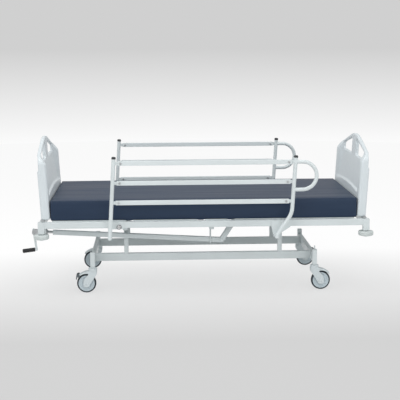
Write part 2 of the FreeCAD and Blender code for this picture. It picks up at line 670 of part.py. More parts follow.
def lean_arm(item):
    """Hang a crank piece from the knuckle's pin at the arm's resting lean."""
    reach = "fold_pin_from"
    drop = "fold_pin_drop"
    line = "(atan2(yoke_z - push_pin_z; push_pin_x - yoke_x))"
    item.Placement.Rotation = FreeCAD.Rotation(Vector(0, -1, 0), number("arm_lean"))
    bind(item, Placement__Rotation__Angle="arm_lean")
    return place(item, f"yoke_x - {reach} * cos({line}) - {drop} * sin({line})", "drive_y",
                 f"yoke_z + {reach} * sin({line}) - {drop} * cos({line})")


def crank_arm():
    body = new_body("crank_arm")
    half = "arm_wide / 2"
    flat = [(f"-{half}", "arm_over - 7"), (0, "arm_over", "through"), (half, "arm_over - 7"),
            (half, "-arm_long - 3"), (0, "-arm_long - 10", "through"), (f"-{half}", "-arm_long - 3")]
    pad(body, outline(new_sketch(body, "XZ_Plane"), flat), "arm_thick", midplane=True)
    bore = circle(new_sketch(body, "XZ_Plane"), 0, 0, "4 + running_gap")
    pocket(body, bore, 20, midplane=True)
    pin = [(f"-{half}", 0), (f"-{half}", "grip_pin_dia / 2"), (f"-{half} - grip_long - 3", "grip_pin_dia / 2"),
           (f"-{half} - grip_long - 3", 0)]
    pin_body = new_body("grip_pin")
    revolve(pin_body, outline(new_sketch(pin_body, "XZ_Plane"), pin), "H_Axis")
    place(pin_body, 0, 0, "-arm_long")
    keep("crank_arm", lean_arm(fuse("crank_arm_whole", body, pin_body)))


def crank_grip():
    body = new_body("crank_grip")
    near = "-arm_wide / 2 - 2"
    far = f"{near} - grip_long"
    bore = "grip_pin_dia / 2 + running_gap"
    half = "grip_dia / 2"
    section = [(near, bore), (near, f"{half} - 2"), (f"{near} - 3", half), (f"{near} - grip_long / 3", f"{half} - 1.2"),
               (f"{far} + 12", f"{half} - 0.4"), (f"{far} + 4", half), (far, f"{half} - 3"), (far, bore)]
    revolve(body, outline(new_sketch(body, "XZ_Plane"), section), "H_Axis")
    place(body, 0, 0, "-arm_long")
    keep("crank_grip", lean_arm(together([body])))


def push_tube():
    start = "push_tail"
    end = f"({drive_long} - 26)"
    body = new_body("push_tube")
    half = "push_side / 2"
    square = rectangle(new_sketch(body, "YZ_Plane", start), f"-{half}", f"-{half}", half, half)
    solid = pad(body, square, f"{end} - {start}")
    doc.recompute()
    fillet(body, solid, edges_along(solid, Vector(1, 0, 0)), "wall * 1.6")
    inner = rectangle(new_sketch(body, "YZ_Plane", end), f"-{half} + wall", f"-{half} + wall", f"{half} - wall",
                      f"{half} - wall")
    pocket(body, inner, f"{end} - {start} + 1")
    keep("push_tube", tilt(body))


def push_tube_ends():
    """The screw's nut in the tube's foot end, the lever's eye in its head end, and the cross bolts."""
    start = "push_tail"
    half = "push_side / 2"
    nut = new_body("drive_nut")
    pad(nut, rectangle(new_sketch(nut, "YZ_Plane", f"{start} - 6"), f"-{half}", f"-{half}", half, half), 6)
    room = f"({half} - wall)"
    pad(nut, rectangle(new_sketch(nut, "YZ_Plane", start), f"-{room}", f"-{room}", room, room), 30)
    bore = circle(new_sketch(nut, "YZ_Plane", f"{start} + 31"), 0, 0, "screw_dia / 2 + running_gap")
    pocket(nut, bore, 40)
    body = new_body("push_tube_eye")
    eye = [("-26", f"-{half}"), (0, f"-{half}"), (half, 0, "through"), (0, half), ("-26", half)]
    pad(body, outline(new_sketch(body, "XZ_Plane"), eye), "push_side", midplane=True)
    room = f"({half} - wall)"
    tail = rectangle(new_sketch(body, "YZ_Plane", "-26"), f"-{room}", f"-{room}", room, room)
    pad(body, tail, 110, flip=True)
    bore = circle(new_sketch(body, "XZ_Plane"), 0, 0, 6.5)
    pocket(body, bore, 50, midplane=True)
    pieces = [nut, place(body, drive_long, 0, 0)]
    for back in (34, 122):
        for sign in (-1, 1):
            pieces.append(rod("tube_bolt", 9, 3, f"{drive_long} - {back}", f"{sign} * {half}", 0, Vector(0, sign, 0)))
    keep("push_tube_ends", tilt(together(pieces)))


def tube_hanger():
    """A bent rod under the seat's cross tube that keeps the push tube from sagging."""
    half = "(push_side / 2 + 8)"
    top = "(low_tube_top - low_tube_side)"
    low = "hanger_low"
    turn = "hanger_turn"
    dia = "hanger_dia"
    pieces = [rod("hanger_foot", dia, f"2 * ({half} - {turn})", 0, f"-{half} + {turn}", low, Vector(0, 1, 0))]
    for sign in (-1, 1):
        pieces.append(rod("hanger_leg", dia, f"{top} - {low} - {turn}", 0, f"{sign} * {half}", f"{low} + {turn}"))
        corner = doc.addObject("Part::Torus", "hanger_corner")
        corner.Placement.Rotation = FreeCAD.Rotation(Vector(0, 0, 1), 90 * sign).multiply(
            FreeCAD.Rotation(Vector(1, 0, 0), -90))
        bind(corner, Radius1=turn, Radius2=f"({dia}) / 2", Angle3="90")
        pieces.append(place(corner, 0, f"{sign} * ({half} - {turn})", f"{low} + {turn}"))
    keep("tube_hanger", place(fuse("tube_hanger_whole", *pieces), "seat_tube_x", "drive_y", 0))


# Side rails: two posts that fold together toward the head end, and three level bars

def pin_spot(post_off, level):
    """Place of a bar's pin from its post's pivot; level 0 is the top bar."""
    rise = f"(top_bar_z - {level} * bar_pitch - rail_pivot_z)"
    return f"({rise} * rail_lean + {post_off})", rise


def rail_post_bolts(pivot_x):
    """The three bolts that the bars turn on."""
    pieces = []
    for level in range(3):
        x, z = pin_spot("foot_post_off", level)
        shank_long = "bar_wide + 1"
        pieces.append(fuse("bar_bolt", *[
            rod("bolt_piece", dia, long, f"{pivot_x} + {x}", f"-rail_y + ({long}) / 2 + {shift}",
                f"rail_pivot_z + {z}", Vector(0, -1, 0))
            for dia, long, shift in (("pin_dia", shank_long, "0"), ("14", "4", "bar_wide / 2 + 2.5"),
                                     ("14", "4", "-bar_wide / 2 - 2.5"))]))
    return pieces


def rail_lugs(post_off, pivot_x, way):
    """Lugs welded on the post, each rounded about the bar's pin."""
    lugs = []
    for level in range(3):
        x, z = pin_spot(0, level)
        body = new_body("rail_lug")
        half = "lug_high / 2"
        reach = f"(-{way} * ({post_off}))"
        lug = [(reach, f"-{half}"), (0, f"-{half}"), (f"{way} * {half}", 0, "through"), (0, half), (reach, half)]
        pad(body, outline(new_sketch(body, "XZ_Plane"), lug), "lug_thick", midplane=True)
        pocket(body, circle(new_sketch(body, "XZ_Plane"), 0, 0, "pin_dia / 2"), 30, midplane=True)
        lugs.append(place(body, f"{pivot_x} + {x} + {way} * ({post_off})", "-rail_y",
                          f"rail_pivot_z + {z}"))
    return lugs


foot_pivot = "foot_pivot_x"
head_pivot = "(foot_pivot_x + rail_pitch)"


def rail_end(name, pivot_x):
    """The post's round lower end on the bracket's pin."""
    body = new_body(name)
    pad(body, circle(new_sketch(body, "XZ_Plane"), 0, 0, "rail_tube_dia / 2 + 1"), "rail_tube_dia + 2", midplane=True)
    return place(body, pivot_x, "-rail_y", "rail_pivot_z")


def rail_pin_hole(pivot_x):
    return rod("pivot_hole", "12 + 2 * running_gap", 60, pivot_x, "-rail_y + 30", "rail_pivot_z", Vector(0, -1, 0))


lean_angle = "atan(rail_lean)"
post_rise = "(top_bar_z - rail_pivot_z + post_over_pin)"


def foot_post():
    straight = leaning_rod("foot_post_tube", "rail_tube_dia", f"{post_rise} / cos({lean_angle})", foot_pivot,
                           "-rail_y", "rail_pivot_z", lean_angle)
    whole = fuse("foot_post", straight, rail_end("foot_post_end", foot_pivot),
                 *rail_lugs("foot_post_off", foot_pivot, 1))
    keep_sides("rail_post_foot", cut("foot_post_drilled", whole, rail_pin_hole(foot_pivot)))


def head_post():
    """The post with its bend and its hand loop."""
    base_x = "(foot_post_off + head_post_off)"
    knee_x = f"({base_x} + bend_rise * rail_lean)"
    knee = f"sqrt({knee_x} * {knee_x} + bend_rise * bend_rise)"
    slant = f"atan2({knee_x}; bend_rise)"
    turn = f"({slant} - {lean_angle})"
    cut_back = f"(bend_radius * tan({turn} / 2))"
    low = f"({knee} - {cut_back})"
    low_x = f"({low} * sin({slant}))"
    low_z = f"({low} * cos({slant}))"
    dia = "rail_tube_dia"
    pieces = [
        leaning_rod("post_slant", dia, low, 0, 0, 0, slant),
        bend("post_bend", dia, "bend_radius", turn, f"{low_x} - bend_radius * cos({slant})", 0,
             f"{low_z} + bend_radius * sin({slant})", lean_angle),
        leaning_rod("post_upright", dia, f"({post_rise} - bend_rise) / cos({lean_angle}) - {cut_back}",
                    f"{knee_x} + {cut_back} * sin({lean_angle})", 0,
                    f"bend_rise + {cut_back} * cos({lean_angle})", lean_angle),
    ]
    upper = "(top_bar_z - rail_pivot_z)"
    lower = f"({upper} - 2 * grip_loop_radius)"
    loop_dia = "rail_tube_dia - 1"
    post_x = f"({base_x} + {upper} * rail_lean)"
    low_post_x = f"({base_x} + {lower} * rail_lean)"
    turn_x = f"({post_x} + grip_loop_out)"
    along = Vector(1, 0, 0)
    pieces += [
        rod("loop_top", loop_dia, "grip_loop_out", post_x, 0, upper, along),
        rod("loop_foot", loop_dia, f"{turn_x} - {low_post_x}", low_post_x, 0, lower, along),
        bend("loop_turn", loop_dia, "grip_loop_radius", "180", turn_x, 0, f"{upper} - grip_loop_radius", "-90"),
    ]
    bent = place(fuse("head_post_bent", *pieces), head_pivot, "-rail_y", "rail_pivot_z")
    whole = fuse("head_post", bent, rail_end("head_post_end", head_pivot),
                 *rail_lugs("head_post_off", f"({head_pivot} + {base_x})", -1))
    keep_sides("rail_post_head", cut("head_post_drilled", whole, rail_pin_hole(head_pivot)))


def rail_fittings():
    """End caps and bar bolts of each post."""
    for name, pivot_x, base_x in (("foot", foot_pivot, "0"), ("head", head_pivot, "(foot_post_off + head_post_off)")):
        cap = new_body("rail_cap")
        radius = "rail_tube_dia / 2"
        section = [(0, 0), (f"{radius} + 1", 0), (f"{radius} + 1", "cap_high_end - 5"),
                   (f"{radius} - 1", "cap_high_end - 1.5"), (f"{radius} - 5", "cap_high_end"),
                   (0, "cap_high_end")]
        revolve(cap, outline(new_sketch(cap, "XZ_Plane"), section), "V_Axis")
        cap.Placement.Rotation = FreeCAD.Rotation(Vector(0, 1, 0), 1)
        bind(cap, Placement__Rotation__Angle=lean_angle)
        place(cap, f"{pivot_x} + {base_x} + {post_rise} * rail_lean", "-rail_y", f"rail_pivot_z + {post_rise}")
        bolts = rail_post_bolts(pivot_x)
        keep_sides(f"rail_fittings_{name}", together([cap] + bolts))


def rail_bars():
    """Rectangular bars; each end is open on the side that the lug swings through."""
    for level, name in enumerate(("top", "middle", "low")):
        x, z = pin_spot("foot_post_off", level)
        long = "(rail_pitch + 2 * bar_over_pin)"
        body = tube("rail_bar", "x", long, "bar_wide", "bar_high", "bar_wall")
        slots = rectangle(new_sketch(body, "XZ_Plane"), f"-{long} / 2 - 1", 0, "-rail_pitch / 2 + 14", "bar_high")
        pocket(body, slots, "bar_wide - 2 * bar_wall", midplane=True)
        slots = rectangle(new_sketch(body, "XZ_Plane"), "rail_pitch / 2 - 14", "-bar_high", f"{long} / 2 + 1", 0)
        pocket(body, slots, "bar_wide - 2 * bar_wall", midplane=True)
        for sign in ("-1", "1"):
            bore = circle(new_sketch(body, "XZ_Plane"), f"{sign} * rail_pitch / 2", 0, "pin_dia / 2 + running_gap")
            pocket(body, bore, "bar_wide + 2", midplane=True)
        place(body, f"{foot_pivot} + {x} + rail_pitch / 2", "-rail_y", f"rail_pivot_z + {z}")
        keep_sides(f"rail_bar_{name}", body)


def bracket(name, pivot_x, plate):
    """A plate on the side tube with a boss and the pin that a post turns on."""
    body = new_body(name)
    pad(body, outline(new_sketch(body, "XZ_Plane"), plate), "bracket_thick")
    face = "(side_y + side_wide / 2)"
    place(body, pivot_x, f"-{face}", "rail_pivot_z")
    boss_long = f"(rail_y - rail_tube_dia / 2 - {face} - 1.5)"
    boss = rod("pivot_boss", 26, boss_long, pivot_x, f"-{face}", "rail_pivot_z", Vector(0, -1, 0))
    pin_long = f"(rail_y + rail_tube_dia / 2 + 1.5 - {face})"
    pin = rod("pivot_pin", 12, pin_long, pivot_x, f"-{face}", "rail_pivot_z", Vector(0, -1, 0))
    head = rod("pivot_head", 22, 3, pivot_x, f"-{face} - {pin_long}", "rail_pivot_z", Vector(0, -1, 0))
    return fuse(name + "_whole", body, boss, pin, head)


def rail_brackets():
    top = "(deck_top - 2 - rail_pivot_z)"
    low = "(deck_top - side_high - 6 - rail_pivot_z)"
    foot_plate = [("-13", "0"), ("0", "-13", "through"), ("13", "0"), ("13", low), ("85", low), ("85", top),
                  ("-13", top)]
    foot = bracket("foot_bracket", foot_pivot, foot_plate)
    hole = rod("plunger_hole", "10 + 2 * running_gap", 40, f"{foot_pivot} + knob_x", "-side_y + 10",
               "rail_pivot_z + knob_z", Vector(0, -1, 0))
    head_plate = [("-16", "0"), ("0", "-16", "through"), ("16", "0"), ("90", low), ("122", top), ("-30", top),
                  ("-30", "65")]
    head = bracket("head_bracket", head_pivot, head_plate)
    keep("rail_brackets", at_both_sides(cut("foot_bracket_drilled", foot, hole)) + at_both_sides(head))


def lock_knobs():
    """The sprung lock's pull knob on the foot bracket, with its plunger."""
    face = "(side_y + side_wide / 2 + bracket_thick)"
    body = new_body("lock_knob")
    radius = "knob_dia / 2"
    section = [(0, "-5"), (5, "-5"), (5, "1"), (f"{radius} - 3", "1"), (radius, "4"), (radius, "9"),
               (f"{radius} - 2", "12.5"), (f"{radius} - 6", "14"), (0, "14")]
    revolve(body, outline(new_sketch(body, "XY_Plane"), section), "V_Axis")
    body.Placement.Rotation = FreeCAD.Rotation(Vector(1, 0, 0), 180)
    place(body, f"{foot_pivot} + knob_x", f"-{face}", "rail_pivot_z + knob_z")
    keep_sides("lock_knob", body)


# Head and foot boards: a leaning, bowed shell under an arch, with two hand openings

def board():
    body = new_body("board")

    def section(height, bow):
        shift = f"(({height}) - board_low) * board_lean"
        inner = f"(board_in_x + {shift})"
        outer = f"({inner} + board_thick)"
        side = "board_half_wide"
        corner = "board_edge"
        part_corner = f"({corner} * (1 - cos(45)))"
        return outline(new_sketch(body, "XY_Plane", height), [
            (inner, f"-{side} + {corner}"), (f"{inner} + {bow}", 0, "through"), (inner, f"{side} - {corner}"),
            (f"{inner} + {part_corner}", f"{side} - {part_corner}", "through"), (f"{inner} + {corner}", side),
            (f"{outer} - {corner}", side),
            (f"{outer} - {part_corner}", f"{side} - {part_corner}", "through"), (outer, f"{side} - {corner}"),
            (f"{outer} + {bow} * 0.6", 0, "through"), (outer, f"-{side} + {corner}"),
            (f"{outer} - {part_corner}", f"-{side} + {part_corner}", "through"), (f"{outer} - {corner}", f"-{side}"),
            (f"{inner} + {corner}", f"-{side}"),
            (f"{inner} + {part_corner}", f"-{side} + {part_corner}", "through")])

    loft = body.newObject("PartDesign::AdditiveLoft", "board_loft")
    loft.Profile = section("board_low", "board_bow_low")
    loft.Sections = [section("board_peak + 5", "board_bow_high")]
    loft.Ruled = True
    half = "board_half_wide"
    shoulder = [(f"-{half}", "board_side_top - shoulder_drop"),
                (f"-{half} + shoulder_in * 0.27", "board_side_top - shoulder_drop * 0.14", "through"),
                (f"-{half} + shoulder_in", "board_side_top + shoulder_rise")]
    other = [(f"{half} - shoulder_in", "board_side_top + shoulder_rise"),
             (f"{half} - shoulder_in * 0.27", "board_side_top - shoulder_drop * 0.14", "through"),
             (half, "board_side_top - shoulder_drop")]
    beyond = [(f"{half} + 10", "board_side_top - shoulder_drop"), (f"{half} + 10", "board_peak + 20"),
              (f"-{half} - 10", "board_peak + 20"), (f"-{half} - 10", "board_side_top - shoulder_drop")]
    above = outline(new_sketch(body, "YZ_Plane", "board_in_x + 40"),
                    shoulder + [(0, "board_peak", "through")] + other + beyond)
    pocket(body, above, 400, midplane=True)

    def waist(height, out):
        return f"board_in_x + board_thick + ({height} - board_low) * board_lean + {out}", height

    for offset, flip in (("board_half_wide + 1", False), ("-board_half_wide - 1", True)):
        side = outline(new_sketch(body, "XZ_Plane", offset), [
            waist("waist_low", "20"), waist("waist_low", "1"), waist("(waist_low + 9)", "-waist_deep"),
            waist("(waist_high - 9)", "-waist_deep"), waist("waist_high", "1"), waist("waist_high", "20")])
        pocket(body, side, "waist_reach", flip=flip)
    window = [(80, 852), (370, 852), (386, 868), (382, 892), (372, 900), (228, 934, "through"), (98, 944),
              (80, 928)]
    for sign in ("", "-"):
        corners = [(f"{sign}{point[0]}",) + point[1:] for point in window]
        opening = outline(new_sketch(body, "YZ_Plane", "board_in_x + 40"), corners)
        pocket(body, opening, 400, midplane=True)
    pegs = []
    for sign in ("-1", "1"):
        x = "board_in_x + peg_out"
        pegs.append(rod("peg", "peg_dia", "peg_long + 20", x, f"{sign} * peg_y", "board_low - peg_long"))
        pegs.append(rod("peg_collar", 20, "board_low - deck_top + 1", x, f"{sign} * peg_y", "deck_top"))
    return fuse("board_whole", body, *pegs)


def boards():
    head = board()
    keep("head_board", head)
    keep("foot_board", mirror("mirrored", head, ACROSS_X))


# Mattress: a part that stays flat, a part on the backrest and the stretch that bends between them

def cushion(label, low_x, high_x):
    item = doc.addObject("Part::Box", "cushion")
    bind(item, Length=f"({high_x}) - ({low_x})", Width="mattress_wide", Height="mattress_thick")
    keep(label, place(item, low_x, "-mattress_wide / 2", "mattress_low"))


def mattress():
    cushion("mattress_flat", "-mattress_half_long", "bend_low_x")
    cushion("mattress_bend", "bend_low_x + soft_gap", "bend_high_x - soft_gap")
    cushion("mattress_back", "bend_high_x", "mattress_half_long")


base_frame()
base_posts()
castors()
support_posts()
deck_tubes()
corner_sockets()
bumper_rollers()
deck_panels()
hinge_lugs()
backrest_frame()
lift_lever()
crank_bracket()
drive_yoke()
crank_screw()
crank_arm()
crank_grip()
push_tube()
push_tube_ends()
tube_hanger()
foot_post()
head_post()
rail_fittings()
rail_bars()
rail_brackets()
lock_knobs()
boards()
mattress()
doc.recompute()

for item in doc.Objects:
    if "Invalid" in item.State or "Error" in item.State:
        raise RuntimeError(f"{item.Name} ({item.Label}) does not compute: {item.State}")

for item in sub_parts:
    if item.Shape.isNull() or not item.Shape.isValid() or not item.Shape.Solids:
        raise RuntimeError(f"{item.Label} has no valid solid")
    item.Shape.exportStep(f"parts/{item.Label}.step")

print(len(sub_parts), "sub-parts written")
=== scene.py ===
import json
import math
import bpy
from mathutils import Matrix, Vector

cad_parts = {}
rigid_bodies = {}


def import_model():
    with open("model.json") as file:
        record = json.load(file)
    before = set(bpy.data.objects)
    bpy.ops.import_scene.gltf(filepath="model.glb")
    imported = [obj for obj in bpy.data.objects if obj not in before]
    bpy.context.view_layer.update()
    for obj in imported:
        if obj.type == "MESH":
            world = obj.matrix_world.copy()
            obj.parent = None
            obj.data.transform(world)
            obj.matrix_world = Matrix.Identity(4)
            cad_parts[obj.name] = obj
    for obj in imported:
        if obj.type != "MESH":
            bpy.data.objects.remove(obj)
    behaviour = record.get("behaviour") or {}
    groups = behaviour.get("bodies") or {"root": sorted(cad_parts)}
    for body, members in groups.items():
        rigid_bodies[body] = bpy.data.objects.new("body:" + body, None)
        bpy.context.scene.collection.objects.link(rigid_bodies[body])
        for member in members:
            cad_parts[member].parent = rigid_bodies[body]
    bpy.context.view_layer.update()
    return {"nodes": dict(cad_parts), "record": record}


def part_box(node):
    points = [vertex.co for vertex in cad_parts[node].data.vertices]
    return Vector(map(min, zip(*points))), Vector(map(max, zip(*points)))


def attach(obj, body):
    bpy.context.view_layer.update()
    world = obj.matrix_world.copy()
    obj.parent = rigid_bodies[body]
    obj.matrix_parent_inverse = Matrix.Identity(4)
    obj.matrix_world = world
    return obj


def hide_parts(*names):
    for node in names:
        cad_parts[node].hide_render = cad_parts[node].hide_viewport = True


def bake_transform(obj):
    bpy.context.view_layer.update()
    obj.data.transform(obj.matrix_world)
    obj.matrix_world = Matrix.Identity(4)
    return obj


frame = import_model()
nodes = frame["nodes"]
scene = bpy.context.scene
print("frame loaded")

bedMiddle = 0.0478     # the bed's own middle along X in the part's frame
ends = {"head": 1, "foot": -1}
sides = {"left": -1, "right": 1}
weldReach = 0.00002    # points nearer to each other than this become one
pointSize = 0.002      # side of the small plane that is merged into a first point


# picking, applying and copying

def dropSelection():
    if bpy.context.mode != "OBJECT":
        bpy.ops.object.mode_set(mode="OBJECT")
    bpy.ops.object.select_all(action="DESELECT")


def pick(piece):
    dropSelection()
    piece.select_set(True)
    bpy.context.view_layer.objects.active = piece
    return piece


def editAll(piece):
    pick(piece)
    bpy.ops.object.mode_set(mode="EDIT")
    bpy.ops.mesh.select_all(action="SELECT")


def facesOut():    # in edit mode: all faces look outward, then back to object mode
    bpy.ops.mesh.select_all(action="SELECT")
    bpy.ops.mesh.normals_make_consistent(inside=False)
    bpy.ops.object.mode_set(mode="OBJECT")


def applyModifier(piece, kind, **settings):
    pick(piece)
    modifier = piece.modifiers.new(kind.title(), kind)
    for name, value in settings.items():
        setattr(modifier, name, value)
    bpy.ops.object.modifier_apply(modifier=modifier.name)
    return piece


def softEdges(piece, width, segments=2, angle=30):
    return applyModifier(piece, "BEVEL", width=width, segments=segments, limit_method="ANGLE",
                         angle_limit=math.radians(angle))


def settle(piece, name=None):    # the place goes into the mesh, the object goes to the origin
    pick(piece)
    bpy.ops.object.transform_apply(location=True, rotation=True, scale=True)
    if name:
        piece.name = name
        piece.data.name = name
    return piece


def smooth(piece, angle):
    pick(piece)
    bpy.ops.object.shade_smooth_by_angle(angle=math.radians(angle))
    return piece


def copyOf(piece, name, shift=(0, 0, 0), mirrorY=False, turn=None):
    pick(piece)
    bpy.ops.object.duplicate(linked=False)
    copy = bpy.context.active_object
    copy.name = name
    copy.data.name = name
    if turn is not None:
        copy.data.transform(turn)
    if mirrorY:
        copy.data.transform(Matrix.Scale(-1, 4, (0, 1, 0)))
    copy.data.transform(Matrix.Translation(Vector(shift)))
    if mirrorY:
        editAll(copy)
        facesOut()
    return copy


def mergedCopy(node, name):      # a CAD node's loose triangles, welded into one skin
    source = nodes[node]
    pick(source)
    bpy.ops.object.duplicate(linked=False)
    copy = bpy.context.active_object
    copy.parent = None
    for key in list(copy.keys()):
        del copy[key]
    copy.name = name
    copy.data.name = name
    editAll(copy)
    bpy.ops.mesh.remove_doubles(threshold=weldReach)
    bpy.ops.object.mode_set(mode="OBJECT")
    return copy


def joinPieces(pieces, name):
    dropSelection()
    for piece in pieces:
        piece.select_set(True)
    bpy.context.view_layer.objects.active = pieces[0]
    bpy.ops.object.join()
    joined = bpy.context.active_object
    joined.name = name
    joined.data.name = name
    return joined


def firstPoint(place):    # a new piece of one point, left in edit mode
    dropSelection()
    bpy.ops.mesh.primitive_plane_add(size=pointSize, location=place)
    piece = bpy.context.active_object
    bpy.ops.object.transform_apply(location=True, rotation=True, scale=True)
    bpy.ops.object.mode_set(mode="EDIT")
    bpy.ops.mesh.select_all(action="SELECT")
    bpy.ops.mesh.merge(type="CENTER")
    return piece


def drawEdges(points):    # edges from the first point through all the others
    for start, end in zip(points, points[1:]):
        bpy.ops.mesh.extrude_region_move(TRANSFORM_OT_translate={"value": Vector(end) - Vector(start)})
    bpy.ops.mesh.select_all(action="SELECT")


def weldSelected():
    bpy.ops.mesh.remove_doubles(threshold=weldReach)
    bpy.ops.mesh.select_all(action="SELECT")


def bothSides(profile):    # half of a turned profile, then its mirror image
    return profile + [(radius, -place) for radius, place in reversed(profile)]


def spunPiece(name, profile, centre, axis, steps=48):    # profile: (distance from axis, place along it)
    axis = Vector(axis).normalized()
    nearlyAlong = 0.9    # over this the axis runs almost along X, so another direction is taken
    across = Vector((1, 0, 0)) if abs(axis.x) < nearlyAlong else Vector((0, 0, 1))
    across = (across - axis * across.dot(axis)).normalized()
    centre = Vector(centre)
    points = [centre + across * radius + axis * place for radius, place in profile]
    piece = firstPoint(points[0])
    drawEdges(points)
    bpy.ops.mesh.spin(steps=steps, angle=2 * math.pi, center=centre, axis=axis)
    bpy.ops.mesh.select_all(action="SELECT")
    weldSelected()
    facesOut()
    return settle(piece, name)


def roundedLoop(corners, steps=6):    # corners: (across, up, radius), each with an arc of its radius
    points = []
    for index, (across, up, radius) in enumerate(corners):
        here = Vector((across, up))
        before = (Vector(corners[index - 1][:2]) - here).normalized()
        after = (Vector(corners[(index + 1) % len(corners)][:2]) - here).normalized()
        opening = before.angle(after)
        reach = radius / math.tan(opening / 2)
        centre = here + (before + after).normalized() * radius / math.sin(opening / 2)
        start = here + before * reach - centre
        turn = start.angle_signed(here + after * reach - centre)
        for step in range(steps + 1):
            share = turn * step / steps
            points.append(centre + Matrix.Rotation(-share, 2) @ start)
    return points


def prism(name, points, along):    # a flat loop of places in space, closed and pushed along a direction
    piece = firstPoint(points[0])
    drawEdges(points + points[:1])
    weldSelected()
    bpy.ops.mesh.edge_face_add()
    bpy.ops.mesh.select_all(action="SELECT")
    bpy.ops.mesh.extrude_region_move(TRANSFORM_OT_translate={"value": along})
    facesOut()
    return settle(piece, name)


def combine(piece, tool, operation):
    applyModifier(piece, "BOOLEAN", object=tool, operation=operation, solver="EXACT")
    bpy.data.objects.remove(tool)
    return piece


def show(piece, body, material, slot, *replaced):
    piece.data.materials.clear()
    piece.data.materials.append(material)
    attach(piece, body)
    if replaced:
        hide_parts(*replaced)
    return piece


# materials

def newMaterial(name, colour, roughness, metallic=0.0, coat=0.0, specular=0.5):
    material = bpy.data.materials.new(name)
    material.use_nodes = True
    tree = material.node_tree
    shader = tree.nodes["Principled BSDF"]
    shader.inputs["Base Color"].default_value = (*colour, 1)
    shader.inputs["Roughness"].default_value = roughness
    shader.inputs["Metallic"].default_value = metallic
    shader.inputs["Coat Weight"].default_value = coat
    shader.inputs["Coat Roughness"].default_value = 0.25
    shader.inputs["Specular IOR Level"].default_value = specular
    return material, tree, shader


def link(tree, start, output, end, entry):
    tree.links.new(start.outputs[output], end.inputs[entry])


def objectPlace(tree, scale=(1, 1, 1)):
    place = tree.nodes.new("ShaderNodeTexCoord")
    mapping = tree.nodes.new("ShaderNodeMapping")
    mapping.inputs["Scale"].default_value = scale
    link(tree, place, "Object", mapping, "Vector")
    return mapping


def noise(tree, scale, detail=4.0, stretch=(1, 1, 1), roughness=0.5):
    texture = tree.nodes.new("ShaderNodeTexNoise")
    texture.inputs["Scale"].default_value = scale
    texture.inputs["Detail"].default_value = detail
    texture.inputs["Roughness"].default_value = roughness
    link(tree, objectPlace(tree, stretch), "Vector", texture, "Vector")
    return texture


def spread(tree, source, output, low, high, lowOut, highOut):
    reach = tree.nodes.new("ShaderNodeMapRange")
    reach.inputs["From Min"].default_value = low
    reach.inputs["From Max"].default_value = high
    reach.inputs["To Min"].default_value = lowOut
    reach.inputs["To Max"].default_value = highOut
    link(tree, source, output, reach, "Value")
    return reach


def tintBetween(tree, factor, output, dark, light):
    mix = tree.nodes.new("ShaderNodeMix")
    mix.data_type = "RGBA"
    mix.inputs["A"].default_value = (*dark, 1)
    mix.inputs["B"].default_value = (*light, 1)
    link(tree, factor, output, mix, "Factor")
    return mix


def roughSurface(tree, shader, texture, strength, distance, below=None):
    bump = tree.nodes.new("ShaderNodeBump")
    bump.inputs["Strength"].default_value = strength
    bump.inputs["Distance"].default_value = distance
    link(tree, texture, "Fac" if "Fac" in texture.outputs else 0, bump, "Height")
    if below:
        link(tree, below, "Normal", bump, "Normal")
    link(tree, bump, "Normal", shader, "Normal")
    return bump


def coatedSteel(name, colour, shade=0.93):    # powder coat: fine orange peel, faint handling marks
    material, tree, shader = newMaterial(name, colour, roughness=0.4, coat=0.15)
    cloud = noise(tree, scale=3.5, detail=5)
    factor = spread(tree, cloud, "Fac", low=0.35, high=0.65, lowOut=0, highOut=1)
    darker = tuple(channel * shade for channel in colour)
    link(tree, tintBetween(tree, factor, "Result", darker, colour), "Result", shader, "Base Color")
    marks = noise(tree, scale=60, detail=6, stretch=(1, 1, 0.35), roughness=0.7)
    handled = spread(tree, marks, "Fac", low=0.3, high=0.75, lowOut=0.32, highOut=0.5)
    link(tree, handled, "Result", shader, "Roughness")
    peel = noise(tree, scale=1400, detail=2)
    wave = noise(tree, scale=90, detail=2)
    under = roughSurface(tree, shader, wave, strength=0.08, distance=0.0008)
    roughSurface(tree, shader, peel, strength=0.1, distance=0.0002, below=under)
    return material


def mouldedPlastic(name, colour, roughness, grain=700, depth=0.0003, shade=0.94):    # fine moulded grain
    material, tree, shader = newMaterial(name, colour, roughness)
    cloud = noise(tree, scale=5, detail=4)
    factor = spread(tree, cloud, "Fac", low=0.3, high=0.7, lowOut=0, highOut=1)
    darker = tuple(channel * shade for channel in colour)
    link(tree, tintBetween(tree, factor, "Result", darker, colour), "Result", shader, "Base Color")
    marks = noise(tree, scale=35, detail=5)
    worn = spread(tree, marks, "Fac", low=0.3, high=0.7, lowOut=roughness - 0.06, highOut=roughness + 0.08)
    link(tree, worn, "Result", shader, "Roughness")
    roughSurface(tree, shader, noise(tree, scale=grain, detail=3), strength=0.15, distance=depth)
    return material


def bareMetal(name, colour, roughness, shade=0.85):    # plain metal with fine rubbed marks
    material, tree, shader = newMaterial(name, colour, roughness, metallic=1.0)
    lines = noise(tree, scale=300, detail=3)
    worn = spread(tree, lines, "Fac", low=0.3, high=0.7, lowOut=roughness * 0.75, highOut=roughness * 1.4)
    link(tree, worn, "Result", shader, "Roughness")
    darker = tuple(channel * shade for channel in colour)
    cloud = noise(tree, scale=25, detail=4)
    factor = spread(tree, cloud, "Fac", low=0.3, high=0.7, lowOut=0, highOut=1)
    link(tree, tintBetween(tree, factor, "Result", darker, colour), "Result", shader, "Base Color")
    roughSurface(tree, shader, lines, strength=0.08, distance=0.0002)
    return material


